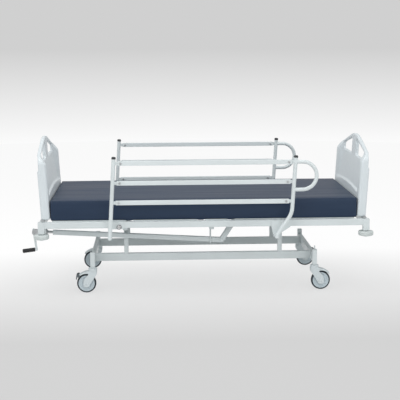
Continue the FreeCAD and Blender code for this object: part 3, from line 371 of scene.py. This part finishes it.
frameCoat = coatedSteel("frameCoat", (0.62, 0.675, 0.685))
railCoat = coatedSteel("railCoat", (0.63, 0.685, 0.695), shade=0.95)
boardShell = mouldedPlastic("boardShell", (0.615, 0.67, 0.695), roughness=0.42, grain=900,
                            depth=0.0002, shade=0.975)
castorHousing = mouldedPlastic("castorHousing", (0.60, 0.66, 0.68), roughness=0.38)
hubPlastic = mouldedPlastic("hubPlastic", (0.52, 0.60, 0.64), roughness=0.42)
bumperPlastic = mouldedPlastic("bumperPlastic", (0.54, 0.59, 0.585), roughness=0.45)
pedalPlastic = mouldedPlastic("pedalPlastic", (0.10, 0.12, 0.13), roughness=0.5)
blackPlastic = mouldedPlastic("blackPlastic", (0.014, 0.015, 0.017), roughness=0.42)
capPlastic = mouldedPlastic("capPlastic", (0.030, 0.034, 0.038), roughness=0.45)
tyreRubber = mouldedPlastic("tyreRubber", (0.030, 0.044, 0.054), roughness=0.68, grain=1200,
                            depth=0.0004, shade=0.8)
bareSteel = bareMetal("bareSteel", (0.58, 0.60, 0.61), roughness=0.34)
brightSteel = bareMetal("brightSteel", (0.80, 0.81, 0.82), roughness=0.14)


def coverMaterial(look):    # coated knit: navy, slightly glossy, faint creases along the bed
    rough = look["rough"]
    material, tree, shader = newMaterial("mattressCover", look["navy"], rough, coat=look["coat"],
                                         specular=look["specular"])
    streaks = noise(tree, scale=6, detail=5, stretch=(0.16, 1.6, 1.6), roughness=0.6)
    factor = spread(tree, streaks, "Fac", low=0.35, high=0.68, lowOut=0, highOut=1)
    tint = tintBetween(tree, factor, "Result", look["navy"], look["navyLight"])
    link(tree, tint, "Result", shader, "Base Color")
    worn = spread(tree, streaks, "Fac", low=0.3, high=0.7, lowOut=rough - 0.05, highOut=rough + 0.07)
    link(tree, worn, "Result", shader, "Roughness")
    creases = noise(tree, scale=5, detail=3, stretch=(0.35, 2.2, 2.2))
    soft = roughSurface(tree, shader, creases, strength=0.35, distance=0.01)
    weave = tree.nodes.new("ShaderNodeTexWave")
    weave.wave_type = "BANDS"
    weave.bands_direction = "DIAGONAL"
    weave.inputs["Scale"].default_value = 420
    weave.inputs["Distortion"].default_value = 1.5
    weave.inputs["Detail"].default_value = 1
    link(tree, objectPlace(tree), "Vector", weave, "Vector")
    roughSurface(tree, shader, weave, strength=0.12, distance=0.0003, below=soft)
    return material


coverLook = {"navy": (0.006, 0.022, 0.056), "navyLight": (0.011, 0.031, 0.070), "rough": 0.46,
             "coat": 0.04, "specular": 0.4}
mattressCover = coverMaterial(coverLook)

slotMaterial = {
    "frame_coat": frameCoat, "rail_coat": railCoat, "board_shell": boardShell,
    "mattress_cover": mattressCover, "tyre_rubber": tyreRubber, "hub_plastic": hubPlastic,
    "castor_housing": castorHousing,
    "pedal_plastic": pedalPlastic, "bumper_plastic": bumperPlastic, "black_plastic": blackPlastic,
    "rail_fittings": capPlastic, "bare_steel": bareSteel,
}
for subpart in frame["record"]["subparts"]:
    mesh = nodes[subpart["node"]].data
    mesh.materials.clear()
    mesh.materials.append(slotMaterial[subpart["material_slot"]])
print("materials made")


# camera, light, floor and background

view = {"place": (-0.2617, -6.8729, 1.6762), "lens": 92.61, "sensor": 36, "clip": 200,
        "turn": -2.5, "down": 9.37, "roll": -0.24}
cameraData = bpy.data.cameras.new("camera")
cameraData.lens = view["lens"]
cameraData.sensor_width = view["sensor"]
cameraData.clip_end = view["clip"]
camera = bpy.data.objects.new("camera", cameraData)
scene.collection.objects.link(camera)
turnMatrix = (Matrix.Rotation(math.radians(view["turn"]), 4, "Z")
              @ Matrix.Rotation(math.radians(90 - view["down"]), 4, "X")
              @ Matrix.Rotation(math.radians(view["roll"]), 4, "Z"))
camera.matrix_world = Matrix.Translation(Vector(view["place"])) @ turnMatrix
scene.camera = camera

scene.view_settings.view_transform = "Standard"
# grey, fadeStart, fadeEnd, whiteBelow and greyAbove set the painted light and shade of the floor and
# backdrop
stage = {"ambient": 0.74, "grey": 0.631, "shadow": 0.22, "fadeStart": 0.9, "fadeEnd": -1.45,
         "floorRadius": 9.0, "floorCorners": 96, "floorLow": -0.0005, "floorPlain": 0.8,
         "whiteBelow": -6.6, "greyAbove": -1.0}    # the last two are degrees over the horizon
lamps = {
    "overheadSoft": {"place": (-0.6, -1.2, 4.2), "target": (0, 0, 0.4), "size": (4.5, 3.0), "power": 84},
    "footSoft": {"place": (-2.8, -4.6, 2.6), "target": (0, 0, 0.5), "size": (2.5, 2.0), "power": 34},
    "headSoft": {"place": (2.6, -4.2, 2.4), "target": (-0.3, 0, 0.6), "size": (2.5, 2.0), "power": 27},
}


def anyVisibleRay(tree):    # 1 for what the camera, a reflection or glass sees, 0 for light
    path = tree.nodes.new("ShaderNodeLightPath")
    first = tree.nodes.new("ShaderNodeMath")
    first.operation = "MAXIMUM"
    link(tree, path, "Is Camera Ray", first, 0)
    link(tree, path, "Is Glossy Ray", first, 1)
    second = tree.nodes.new("ShaderNodeMath")
    second.operation = "MAXIMUM"
    tree.links.new(first.outputs[0], second.inputs[0])
    link(tree, path, "Is Transmission Ray", second, 1)
    return second


def worldLight():
    world = bpy.data.worlds.new("studio")
    scene.world = world
    world.use_nodes = True
    tree = world.node_tree
    tree.nodes.clear()
    output = tree.nodes.new("ShaderNodeOutputWorld")
    light = tree.nodes.new("ShaderNodeBackground")
    light.inputs["Strength"].default_value = stage["ambient"]
    light.inputs["Color"].default_value = (1, 1, 1, 1)
    seen = tree.nodes.new("ShaderNodeBackground")
    seen.inputs["Strength"].default_value = 1
    direction = tree.nodes.new("ShaderNodeTexCoord")
    split = tree.nodes.new("ShaderNodeSeparateXYZ")
    link(tree, direction, "Generated", split, "Vector")
    # painted shade on the backdrop: the sky that the camera and reflections see is painted white low down
    # and grey from just under the horizon upward
    low = math.sin(math.radians(stage["whiteBelow"]))
    high = math.sin(math.radians(stage["greyAbove"]))
    rise = spread(tree, split, "Z", low, high, lowOut=1, highOut=stage["grey"])
    link(tree, rise, "Result", seen, "Color")
    mix = tree.nodes.new("ShaderNodeMixShader")
    tree.links.new(anyVisibleRay(tree).outputs[0], mix.inputs[0])
    tree.links.new(light.outputs[0], mix.inputs[1])
    tree.links.new(seen.outputs[0], mix.inputs[2])
    tree.links.new(mix.outputs[0], output.inputs["Surface"])


def floorMaterial():
    material = bpy.data.materials.new("floorPale")
    material.use_nodes = True
    tree = material.node_tree
    tree.nodes.clear()
    output = tree.nodes.new("ShaderNodeOutputMaterial")
    place = tree.nodes.new("ShaderNodeTexCoord")
    split = tree.nodes.new("ShaderNodeSeparateXYZ")
    link(tree, place, "Object", split, "Vector")
    # painted light and shade on the floor: what the camera and reflections see of it is painted grey in
    # front of the bed and white behind it; the lamps' real shadow comes in through the diffuse share
    paintedFloorShade = spread(tree, split, "Y", stage["fadeEnd"], stage["fadeStart"], lowOut=stage["grey"], highOut=1)
    plain = tree.nodes.new("ShaderNodeBsdfDiffuse")
    plain.inputs["Color"].default_value = (*[stage["floorPlain"]] * 3, 1)
    glow = tree.nodes.new("ShaderNodeEmission")
    glow.inputs["Strength"].default_value = 1 - stage["shadow"]
    link(tree, paintedFloorShade, "Result", glow, "Color")
    shaded = tree.nodes.new("ShaderNodeBsdfDiffuse")
    share = tree.nodes.new("ShaderNodeMath")
    share.operation = "MULTIPLY"
    share.inputs[1].default_value = stage["shadow"]
    link(tree, paintedFloorShade, "Result", share, 0)
    tree.links.new(share.outputs[0], shaded.inputs["Color"])
    both = tree.nodes.new("ShaderNodeAddShader")
    tree.links.new(glow.outputs[0], both.inputs[0])
    tree.links.new(shaded.outputs[0], both.inputs[1])
    mix = tree.nodes.new("ShaderNodeMixShader")
    tree.links.new(anyVisibleRay(tree).outputs[0], mix.inputs[0])
    tree.links.new(plain.outputs[0], mix.inputs[1])
    tree.links.new(both.outputs[0], mix.inputs[2])
    tree.links.new(mix.outputs[0], output.inputs["Surface"])
    return material


def areaLight(name, place, target, size, power):
    data = bpy.data.lights.new(name, "AREA")
    data.shape = "RECTANGLE"
    data.size, data.size_y = size
    data.energy = power
    lamp = bpy.data.objects.new(name, data)
    scene.collection.objects.link(lamp)
    lamp.location = place
    lamp.rotation_euler = (Vector(target) - Vector(place)).to_track_quat("-Z", "Y").to_euler()
    lamp.visible_camera = False
    return lamp


worldLight()
dropSelection()
bpy.ops.mesh.primitive_circle_add(vertices=stage["floorCorners"], radius=stage["floorRadius"],
                                  fill_type="NGON", location=(0, 0, stage["floorLow"]))
floor = settle(bpy.context.active_object, "floor")
floor.data.materials.append(floorMaterial())
for lampName, lampLook in lamps.items():
    areaLight(lampName, **lampLook)
print("stage made")


# castors: rounded moulding, disc hub with rings, tyre with a crowned tread

castor = {
    "x": 0.721, "y": 0.350, "trail": 0.041, "wheel": 0.0625, "rim": 0.0525, "half": 0.015,
    "voxel": 0.0016, "rounds": 5,
    # half profiles as (distance from the tread, or from the axle for the disc; inset from the face)
    "tread": [(-0.0028, 0.0035), (-0.0009, 0.0070), (0, 0.0115)],
    "disc": [(0.0001, -0.0020), (0.0065, -0.0020), (0.0080, -0.0008), (0.0140, -0.0006),
             (0.0160, 0.0030), (0.0255, 0.0044), (0.0270, 0.0030), (0.0290, 0.0030),
             (0.0305, 0.0044), (0.0420, 0.0044), (0.0445, 0.0012), (0.0520, 0.0010)],
    "bead": [(0, 0.001), (0.0035, 0)],    # from the rim outward
}


def wheelPlace(end, side):
    reach = ends[end] * (castor["x"] + castor["trail"])
    return Vector((bedMiddle + reach, sides[side] * castor["y"], castor["wheel"]))


def castorWheels():
    axis = (0, 1, 0)
    half = castor["half"]
    start = wheelPlace("foot", "left")
    bead = [(castor["rim"] + out, -half + inset) for out, inset in castor["bead"]]
    tread = [(castor["wheel"] + out, -half + inset) for out, inset in castor["tread"]]
    tyre = spunPiece("tyreFirst", bothSides(bead + tread) + bead[:1], start, axis, steps=72)
    smooth(softEdges(tyre, width=0.0007, angle=25), angle=40)
    disc = [(out, -half + inset) for out, inset in castor["disc"]]
    hub = spunPiece("hubFirst", bothSides(disc), start, axis, steps=64)
    smooth(softEdges(hub, width=0.0005), angle=40)
    for end in ends:
        for side in sides:
            shift = wheelPlace(end, side) - start
            corner = f"{end}_{side}"
            body = f"castor_wheel_{corner}"
            tyreCopy = copyOf(tyre, f"tyre_{corner}", shift)
            show(tyreCopy, body, tyreRubber, "tyre_rubber", f"castor_tyre_{corner}")
            hubCopy = copyOf(hub, f"hub_{corner}", shift)
            show(hubCopy, body, hubPlastic, "hub_plastic", f"castor_hub_{corner}")
    for first in (tyre, hub):
        bpy.data.objects.remove(first)


def castorForks():
    for end in ends:
        for side in sides:
            corner = f"{end}_{side}"
            fork = mergedCopy(f"castor_fork_{corner}", f"fork_{corner}")
            applyModifier(fork, "REMESH", mode="VOXEL", voxel_size=castor["voxel"])
            applyModifier(fork, "SMOOTH", factor=0.5, iterations=castor["rounds"])
            smooth(fork, angle=60)
            show(fork, f"castor_{corner}", castorHousing, "castor_housing", f"castor_fork_{corner}")


castorWheels()
castorForks()
print("castors made")


# bumper rollers: turned discs with a soft edge and a recessed bolt

bumper = {
    "bore": 0.0065,
    # rounded rim as (inset from the rim, inset from the face), then the bolt's recess from its lip inward
    "rim": [(0.008, 0), (0.003, 0.0015), (0.0005, 0.0055), (0, 0.010)],
    "recess": [(0.021, 0), (0.0195, 0.001), (0.0165, 0.003)],
}


def bumperRollers():
    low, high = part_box("bumper_roller_foot_left")
    centre = (low + high) / 2
    edge = (high.x - low.x) / 2
    half = (high.z - low.z) / 2
    start = (bumper["bore"], -half)
    rim = [(edge - inward, -half + inset) for inward, inset in bumper["rim"]]
    dip = [(out, half - inset) for out, inset in bumper["recess"]]
    profile = [start] + bothSides(rim) + dip + [(bumper["bore"], dip[-1][1]), start]
    roller = spunPiece("rollerFirst", profile, centre, (0, 0, 1), steps=72)
    smooth(softEdges(roller, width=0.0008, angle=25), angle=40)
    for end in ends:
        for side in sides:
            corner = f"{end}_{side}"
            low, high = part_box(f"bumper_roller_{corner}")
            piece = copyOf(roller, f"roller_{corner}", (low + high) / 2 - centre)
            show(piece, f"bumper_roller_{corner}", bumperPlastic, "bumper_plastic",
                 f"bumper_roller_{corner}")
    bpy.data.objects.remove(roller)


bumperRollers()
print("bumpers made")


# head and foot boards: one moulded shell each, with a thin roof-shaped handle over two hand windows

board = {
    "inX": 0.976, "low": 0.497, "rise": 0.52, "lean": 0.056, "thick": 0.058, "halfWide": 0.446,
    "side": 0.8854, "apex": 1.0007, "apexRadius": 0.479, "shoulder": 0.055,
    "thinFrom": 0.832, "thinTo": 0.894, "handle": 0.024, "turnRadius": 0.045, "startRadius": 0.03,
    "innerRound": 0.020, "outerRound": 0.009, "firstVoxel": 0.0050, "voxel": 0.0038, "rounds": 5,
    # the hollow on the bed's side; facing is how far a point has to look at the bed to be pushed in
    "recessHalf": 0.375, "recessSoft": 0.028, "ledge": 0.668, "ledgeDrop": 0.020, "ledgeDeep": 0.011,
    "ledgeLip": 0.003, "facing": -0.3,
    "windowIn": 0.064, "windowOut": 0.346, "windowLow": 0.846, "windowTopIn": 0.957,
    "windowTopOut": 0.896, "windowRadius": 0.016,
    "waistLow": 0.810, "waistHigh": 0.890, "waistDeep": 0.009, "waistFrom": 0.332, "waistRadius": 0.008,
    "waistMouthLow": 0.780, "waistMouthHigh": 0.920, "waistMouth": 0.03, "waistReach": 0.2,
    "waistMouthRadius": 0.004,
    # the cutting shapes, which reach past the board on every side
    "cutFrom": 0.90, "cutReach": 0.30, "cutOver": 0.01, "cutSide": 0.02, "cutTop": 1.02,
    "cutRadius": 0.002, "cutHair": 0.001,
}
peg = {
    "y": 0.444, "out": 0.047, "foot": 0.437,
    "profile": [(0.0001, 0), (0.0045, 0), (0.0060, 0.0015), (0.0060, 0.0475), (0.0090, 0.0475),
                (0.0100, 0.0485), (0.0100, 0.0620), (0.0001, 0.0620)],
}


def easeIn(value, low, high):
    share = min(max((value - low) / (high - low), 0), 1)
    return share * share * (3 - 2 * share)


def boardX(height, into):    # X of a place on the head board, measured from its inner face outward
    return bedMiddle + board["inX"] + (height - board["low"]) * board["lean"] + into


def roundedSlab():    # the board's footprint with rounded upright edges, pushed up along its lean
    half = board["halfWide"]
    thick = board["thick"]
    loop = roundedLoop([(0, -half, board["innerRound"]), (0, half, board["innerRound"]),
                        (thick, half, board["outerRound"]), (thick, -half, board["outerRound"])])
    high = board["rise"]
    places = [(boardX(board["low"], into), across, board["low"]) for into, across in loop]
    return prism("boardSlab", places, Vector((high * board["lean"], 0, high)))


def sideOutline():    # the board's section along the bed: full depth below, the thin handle above
    thin = board["thick"] - board["handle"]
    inner = -board["cutOver"]
    outer = board["thick"] + board["cutOver"]
    low = board["low"] - board["cutOver"]
    loop = roundedLoop([
        (inner, low, board["cutRadius"]), (outer, low, board["cutRadius"]),
        (outer, board["cutTop"], board["cutRadius"]), (thin, board["cutTop"], board["cutRadius"]),
        (thin, board["thinTo"], board["turnRadius"]), (inner, board["thinFrom"], board["startRadius"])])
    half = board["halfWide"] + board["cutSide"]
    return prism("sideTool", [(boardX(up, into), -half, up) for into, up in loop], Vector((0, 2 * half, 0)))


def acrossPrism(name, loop):    # an outline seen from the bed's end, pushed through the board's full depth
    start = bedMiddle + board["cutFrom"]
    return prism(name, [(start, across, up) for across, up in loop], Vector((board["cutReach"], 0, 0)))


def roofTool():    # the board seen from the bed's end: upright sides and a low gable with a round apex
    half = board["halfWide"]
    low = board["low"] - board["cutOver"]
    sideOut = half + board["cutHair"]    # just outside the slab, so that the slab's own side stays
    loop = roundedLoop([
        (-half - board["cutOver"], low, board["cutRadius"]),
        (half + board["cutOver"], low, board["cutRadius"]),
        (sideOut, board["side"], board["shoulder"]), (0, board["apex"], board["apexRadius"]),
        (-sideOut, board["side"], board["shoulder"])], steps=14)
    return acrossPrism("roofTool", loop)


def hollowPanel(shell):    # the bed's side: an arched ledge, then a floor that runs up into the handle
    mesh = shell.data
    facing = [vertex.normal.x for vertex in mesh.vertices]
    thin = board["thick"] - board["handle"]
    for vertex, outward in zip(mesh.vertices, facing):
        if outward > board["facing"]:
            continue
        across, up = abs(vertex.co.y), vertex.co.z
        ledge = board["ledge"] - board["ledgeDrop"] * (across / board["recessHalf"]) ** 2
        climb = min(max((up - ledge) / (board["windowLow"] - ledge), 0), 1)
        deep = board["ledgeDeep"] + (thin - board["ledgeDeep"]) * climb
        share = easeIn(up, ledge - board["ledgeLip"], ledge + board["ledgeLip"])
        inner = board["recessHalf"] - board["recessSoft"]
        outer = board["recessHalf"] + board["recessSoft"]
        share *= 1 - easeIn(across, inner, outer)
        vertex.co.x = max(vertex.co.x, boardX(up, deep * share))


def windowTool(sign):    # one hand window, higher toward the board's middle
    corners = [(board["windowIn"], board["windowLow"]), (board["windowOut"], board["windowLow"]),
               (board["windowOut"], board["windowTopOut"]), (board["windowIn"], board["windowTopIn"])]
    loop = roundedLoop([(sign * across, up, board["windowRadius"]) for across, up in corners])
    return acrossPrism("windowTool", loop)


def waistTool(sign):    # the shallow waist in the outer face beside a window
    mouth = board["thick"] + board["waistMouth"]
    deep = board["thick"] - board["waistDeep"]
    loop = roundedLoop([(mouth, board["waistMouthLow"], board["waistMouthRadius"]),
                        (mouth, board["waistMouthHigh"], board["waistMouthRadius"]),
                        (deep, board["waistHigh"], board["waistRadius"]),
                        (deep, board["waistLow"], board["waistRadius"])])
    places = [(boardX(up, into), sign * board["waistFrom"], up) for into, up in loop]
    return prism("waistTool", places, Vector((0, sign * board["waistReach"], 0)))


def boardShellShape():
    shell = combine(roundedSlab(), sideOutline(), "INTERSECT")
    combine(shell, roofTool(), "INTERSECT")
    applyModifier(shell, "REMESH", mode="VOXEL", voxel_size=board["firstVoxel"])
    hollowPanel(shell)
    for sign in (-1, 1):
        combine(shell, windowTool(sign), "DIFFERENCE")
        combine(shell, waistTool(sign), "DIFFERENCE")
    applyModifier(shell, "REMESH", mode="VOXEL", voxel_size=board["voxel"])
    applyModifier(shell, "SMOOTH", factor=0.5, iterations=board["rounds"])
    return smooth(shell, angle=70)


def boardPegs():    # steel pegs that stand in the corner sockets, each with a collar under the board
    pegs = []
    for sign in (-1, 1):
        foot = (bedMiddle + board["inX"] + peg["out"], sign * peg["y"], peg["foot"])
        pegs.append(spunPiece("peg", peg["profile"], foot, (0, 0, 1), steps=32))
    return smooth(joinPieces(pegs, "boardPegsFirst"), angle=40)


def acrossBed():    # the mirror that carries the head end onto the foot end
    middle = Matrix.Translation(Vector((bedMiddle, 0, 0)))
    return middle @ Matrix.Scale(-1, 4, (1, 0, 0)) @ middle.inverted()


def boards():
    shell = boardShellShape()
    pegs = boardPegs()
    for end, sign in ends.items():
        turn = acrossBed() if sign < 0 else None
        for first, name, material, slot in ((shell, "BoardShell", boardShell, "board_shell"),
                                            (pegs, "BoardPegs", bareSteel, "bare_steel")):
            piece = copyOf(first, f"{end}{name}", turn=turn)
            if sign < 0:
                editAll(piece)
                facesOut()
            replaced = [f"{end}_board"] if first is shell else []
            show(piece, f"{end}_board", material, slot, *replaced)
    for first in (shell, pegs):
        bpy.data.objects.remove(first)


boards()
print("boards made")


# side rails: dark plugs on the posts, small bolts where the bars turn

def railFittings():
    for end in ends:
        for side in sides:
            node = f"rail_fittings_{end}_{side}"
            source = mergedCopy(node, f"railParts_{end}_{side}")
            editAll(source)
            bpy.ops.mesh.separate(type="LOOSE")
            dropSelection()
            parts = [item for item in bpy.data.objects if item.name.startswith(f"railParts_{end}_{side}")]
            cap = max(parts, key=lambda item: max(vertex.co.z for vertex in item.data.vertices))
            bolts = [item for item in parts if item is not cap]
            softEdges(cap, width=0.0012, segments=3)
            cap.name = f"postPlug_{end}_{side}"
            smooth(cap, angle=40)
            show(cap, f"rail_{end}_{side}", capPlastic, "rail_fittings", node)
            group = joinPieces(bolts, f"barBolts_{end}_{side}")
            smooth(softEdges(group, width=0.0010), angle=40)
            show(group, f"rail_{end}_{side}", bareSteel, "bare_steel")


railFittings()
print("rail fittings made")


# crank grip: ribbed black plastic that turns on its pin

grip = {
    "place": (-1.038804, -0.28, 0.27458), "axis": (-0.99275734, 0.0, -0.12013684), "radius": 0.0138,
    "bore": 0.0052, "endGap": 0.0028, "ribs": 9, "rib": 0.0011, "ribFrom": 0.007, "ribSpare": 0.018,
    "grooveStart": 0.22, "grooveEnd": 0.45, "nextRib": 0.67,    # shares of a rib's pitch
    # rounded ends as (inset from the full radius, inset from the end)
    "near": [(0.003, 0), (0.0006, 0.002), (0, 0.005)],
    "far": [(0, 0.006), (0.0012, 0.0022), (0.004, 0)],
}


def crankGrip():
    low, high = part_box("crank_grip")
    axis = Vector(grip["axis"])
    place = Vector(grip["place"])
    corners = [Vector((x, place.y, z)) for x in (low.x, high.x) for z in (low.z, high.z)]
    reaches = [(corner - place).dot(axis) for corner in corners]
    nearEnd = min(reaches) + grip["endGap"]
    farEnd = max(reaches) - grip["endGap"]
    radius = grip["radius"]
    profile = [(grip["bore"], nearEnd)]
    profile += [(radius - inward, nearEnd + inset) for inward, inset in grip["near"]]
    pitch = (farEnd - nearEnd - grip["ribSpare"]) / grip["ribs"]
    for rib in range(grip["ribs"]):
        start = nearEnd + grip["ribFrom"] + rib * pitch
        profile += [(radius, start), (radius - grip["rib"], start + pitch * grip["grooveStart"]),
                    (radius - grip["rib"], start + pitch * grip["grooveEnd"]),
                    (radius, start + pitch * grip["nextRib"])]
    profile += [(radius - inward, farEnd - inset) for inward, inset in grip["far"]]
    profile += [(grip["bore"], farEnd), (grip["bore"], nearEnd)]
    piece = spunPiece("crankGripShell", profile, place, axis, steps=48)
    smooth(piece, angle=35)
    show(piece, "crank_grip", blackPlastic, "black_plastic", "crank_grip")


crankGrip()
print("grip made")


# light plugs in the open ends of the low deck cross tubes

plug = {"side": 0.0258, "thick": 0.004, "y": 0.4398, "z": 0.439, "along": (-0.505, 0.045, 0.505)}


def tubePlugs():
    plugs = []
    for along in plug["along"]:
        for sign in (-1, 1):
            dropSelection()
            bpy.ops.mesh.primitive_cube_add(size=1, location=(
                bedMiddle + along, sign * (plug["y"] - plug["thick"] / 2), plug["z"]))
            item = bpy.context.active_object
            item.scale = (plug["side"], plug["thick"], plug["side"])
            settle(item, "plugFirst")
            softEdges(item, width=0.0012, segments=3)
            plugs.append(item)
    group = smooth(joinPieces(plugs, "lowTubePlugs"), angle=40)
    show(group, "bed_frame", frameCoat, "frame_coat")


tubePlugs()
print("tube plugs made")


# lock knobs: bright domed pull in a dark ring

knob = {
    "zero": 0.005,    # from the knob's inner end out to the profiles' zero
    "ring": [(0.0052, 0.0010), (0.0120, 0.0010), (0.0146, 0.0030), (0.0150, 0.0060), (0.0150, 0.0090),
             (0.0146, 0.0106), (0.0132, 0.0110), (0.0128, 0.0100), (0.0052, 0.0100), (0.0052, 0.0010)],
    "dome": [(0.0001, -0.0048), (0.0050, -0.0048), (0.0050, 0.0102), (0.0124, 0.0102), (0.0124, 0.0118),
             (0.0108, 0.0131), (0.0070, 0.0139), (0.0001, 0.0141)],
}


def lockKnobs():
    low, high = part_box("lock_knob_left")
    centre = Vector(((low.x + high.x) / 2, high.y - knob["zero"], (low.z + high.z) / 2))
    out = (0, -1, 0)
    ringPiece = spunPiece("knobRingFirst", knob["ring"], centre, out, steps=48)
    domePiece = spunPiece("knobDomeFirst", knob["dome"], centre, out, steps=48)
    for piece in (ringPiece, domePiece):
        smooth(softEdges(piece, width=0.0004), angle=40)
    for side, sign in sides.items():
        across = sign > 0
        ringCopy = copyOf(ringPiece, f"knobRing_{side}", mirrorY=across)
        show(ringCopy, f"lock_knob_{side}", blackPlastic, "black_plastic", f"lock_knob_{side}")
        domeCopy = copyOf(domePiece, f"knobDome_{side}", mirrorY=across)
        show(domeCopy, f"lock_knob_{side}", brightSteel, "bare_steel")
    bpy.data.objects.remove(ringPiece)
    bpy.data.objects.remove(domePiece)


lockKnobs()
print("lock knobs made")


# mattress: foam in a coated cover, softly rounded, with a welt along its top edge

mattress = {
    "low": 0.4915, "high": 0.6165, "halfLong": 0.974, "halfWide": 0.442, "round": 0.006, "cell": 0.024,
    "pressure": 5.0, "cap": 0.004, "held": 0.010, "heldLow": 0.001, "steps": 20,
    "sag": 0.0065, "sagSoft": 0.008, "sagReach": 0.012,
    "bendStart": (0.1038, 0, 0.49), "bendEnd": (0.3098, 0, 0.49), "fewestCells": 6,
    "gaps": [(-0.496, -0.454), (-0.046, 0.004), (0.146, 0.182)],
}


def foamBlock():
    dropSelection()
    low, high = mattress["low"], mattress["high"]
    bpy.ops.mesh.primitive_cube_add(size=1, location=(bedMiddle, 0, (low + high) / 2))
    block = bpy.context.active_object
    block.scale = (2 * mattress["halfLong"], 2 * mattress["halfWide"], high - low)
    settle(block, "mattress")
    applyModifier(block, "BEVEL", width=mattress["round"], segments=3, limit_method="ANGLE")
    editAll(block)
    reach = (mattress["halfLong"], mattress["halfWide"], (high - low) / 2)
    for axis in range(3):
        count = max(round(2 * reach[axis] / mattress["cell"]), mattress["fewestCells"])
        normal = Vector([1 if index == axis else 0 for index in range(3)])
        for step in range(1, count):
            share = 2 * step / count - 1
            place = Vector((bedMiddle, 0, (low + high) / 2)) + normal * reach[axis] * share
            bpy.ops.mesh.select_all(action="SELECT")
            bpy.ops.mesh.bisect(plane_co=place, plane_no=normal, use_fill=False)
    bpy.ops.mesh.select_all(action="SELECT")
    bpy.ops.mesh.normals_make_consistent(inside=False)
    bpy.ops.object.mode_set(mode="OBJECT")
    return block


def heldEdges(block):    # the sewn edges, which keep their line while the faces between them crown
    low, high = mattress["low"], mattress["high"]
    group = block.vertex_groups.new(name="sewnEdges")
    held = []
    for vertex in block.data.vertices:
        gaps = (mattress["halfLong"] - abs(vertex.co.x - bedMiddle),
                mattress["halfWide"] - abs(vertex.co.y),
                min(high - vertex.co.z, vertex.co.z - low))
        nearEdge = sum(gap < mattress["held"] for gap in gaps) >= 2
        if nearEdge or vertex.co.z < low + mattress["heldLow"]:
            held.append(vertex.index)
    group.add(held, 1, "REPLACE")
    return group.name


def puffUp(block):
    start = [vertex.co.copy() for vertex in block.data.vertices]
    held = heldEdges(block)
    pick(block)
    cloth = block.modifiers.new("Cloth", "CLOTH")
    settings = cloth.settings
    settings.quality = 5
    settings.mass = 0.3
    settings.tension_stiffness = 25
    settings.compression_stiffness = 25
    settings.bending_stiffness = 2
    settings.vertex_group_mass = held
    settings.use_pressure = True
    settings.uniform_pressure_force = mattress["pressure"]
    settings.effector_weights.gravity = 0
    for step in range(1, mattress["steps"] + 1):
        scene.frame_set(step)
    bpy.ops.object.modifier_apply(modifier=cloth.name)
    for vertex, place in zip(block.data.vertices, start):
        move = vertex.co - place
        if move.length > mattress["cap"]:
            vertex.co = place + move.normalized() * mattress["cap"]
    scene.frame_set(1)


def sagIntoGaps(block):    # the underside settles a little where no deck panel carries it
    for vertex in block.data.vertices:
        vertex.co.z = max(vertex.co.z, mattress["low"])
        if vertex.co.z > mattress["low"] + mattress["sagReach"]:
            continue
        along = vertex.co.x - bedMiddle
        soft = mattress["sagSoft"]
        share = max(easeIn(along, start - soft, start + soft) * (1 - easeIn(along, end - soft, end + soft))
                    for start, end in mattress["gaps"])
        vertex.co.z -= mattress["sag"] * share


def finishMattress(block):
    sagIntoGaps(block)
    smooth(block, angle=50)
    block.data.materials.clear()
    block.data.materials.append(mattressCover)
    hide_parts("mattress_flat", "mattress_bend", "mattress_back")
    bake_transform(block)


cord = {"radius": 0.0016, "drop": 0.0025, "inset": 0.003, "corner": 0.008, "cuts": 40}


def welt(name, height):    # a thin cord of the cover's own cloth round the mattress
    dropSelection()
    bpy.ops.mesh.primitive_plane_add(size=1, location=(bedMiddle, 0, height))
    edge = bpy.context.active_object
    edge.scale = (2 * mattress["halfLong"] - cord["inset"], 2 * mattress["halfWide"] - cord["inset"], 1)
    settle(edge, name)
    bpy.ops.object.mode_set(mode="EDIT")
    bpy.ops.mesh.select_all(action="SELECT")
    bpy.ops.mesh.delete(type="ONLY_FACE")
    bpy.ops.mesh.select_all(action="SELECT")
    bpy.ops.mesh.bevel(offset=cord["corner"], segments=4, affect="VERTICES")
    bpy.ops.mesh.select_all(action="SELECT")
    bpy.ops.mesh.subdivide(number_cuts=cord["cuts"])
    bpy.ops.object.mode_set(mode="OBJECT")
    bpy.ops.object.convert(target="CURVE")
    edge = bpy.context.active_object
    edge.data.bevel_depth = cord["radius"]
    edge.data.bevel_resolution = 3
    bpy.ops.object.convert(target="MESH")
    edge = bpy.context.active_object
    settle(edge, name)
    smooth(edge, angle=80)
    edge.data.materials.clear()
    edge.data.materials.append(mattressCover)
    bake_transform(edge)


foam = foamBlock()
puffUp(foam)
finishMattress(foam)
welt("topWelt", mattress["high"] - cord["drop"])
print("mattress made")
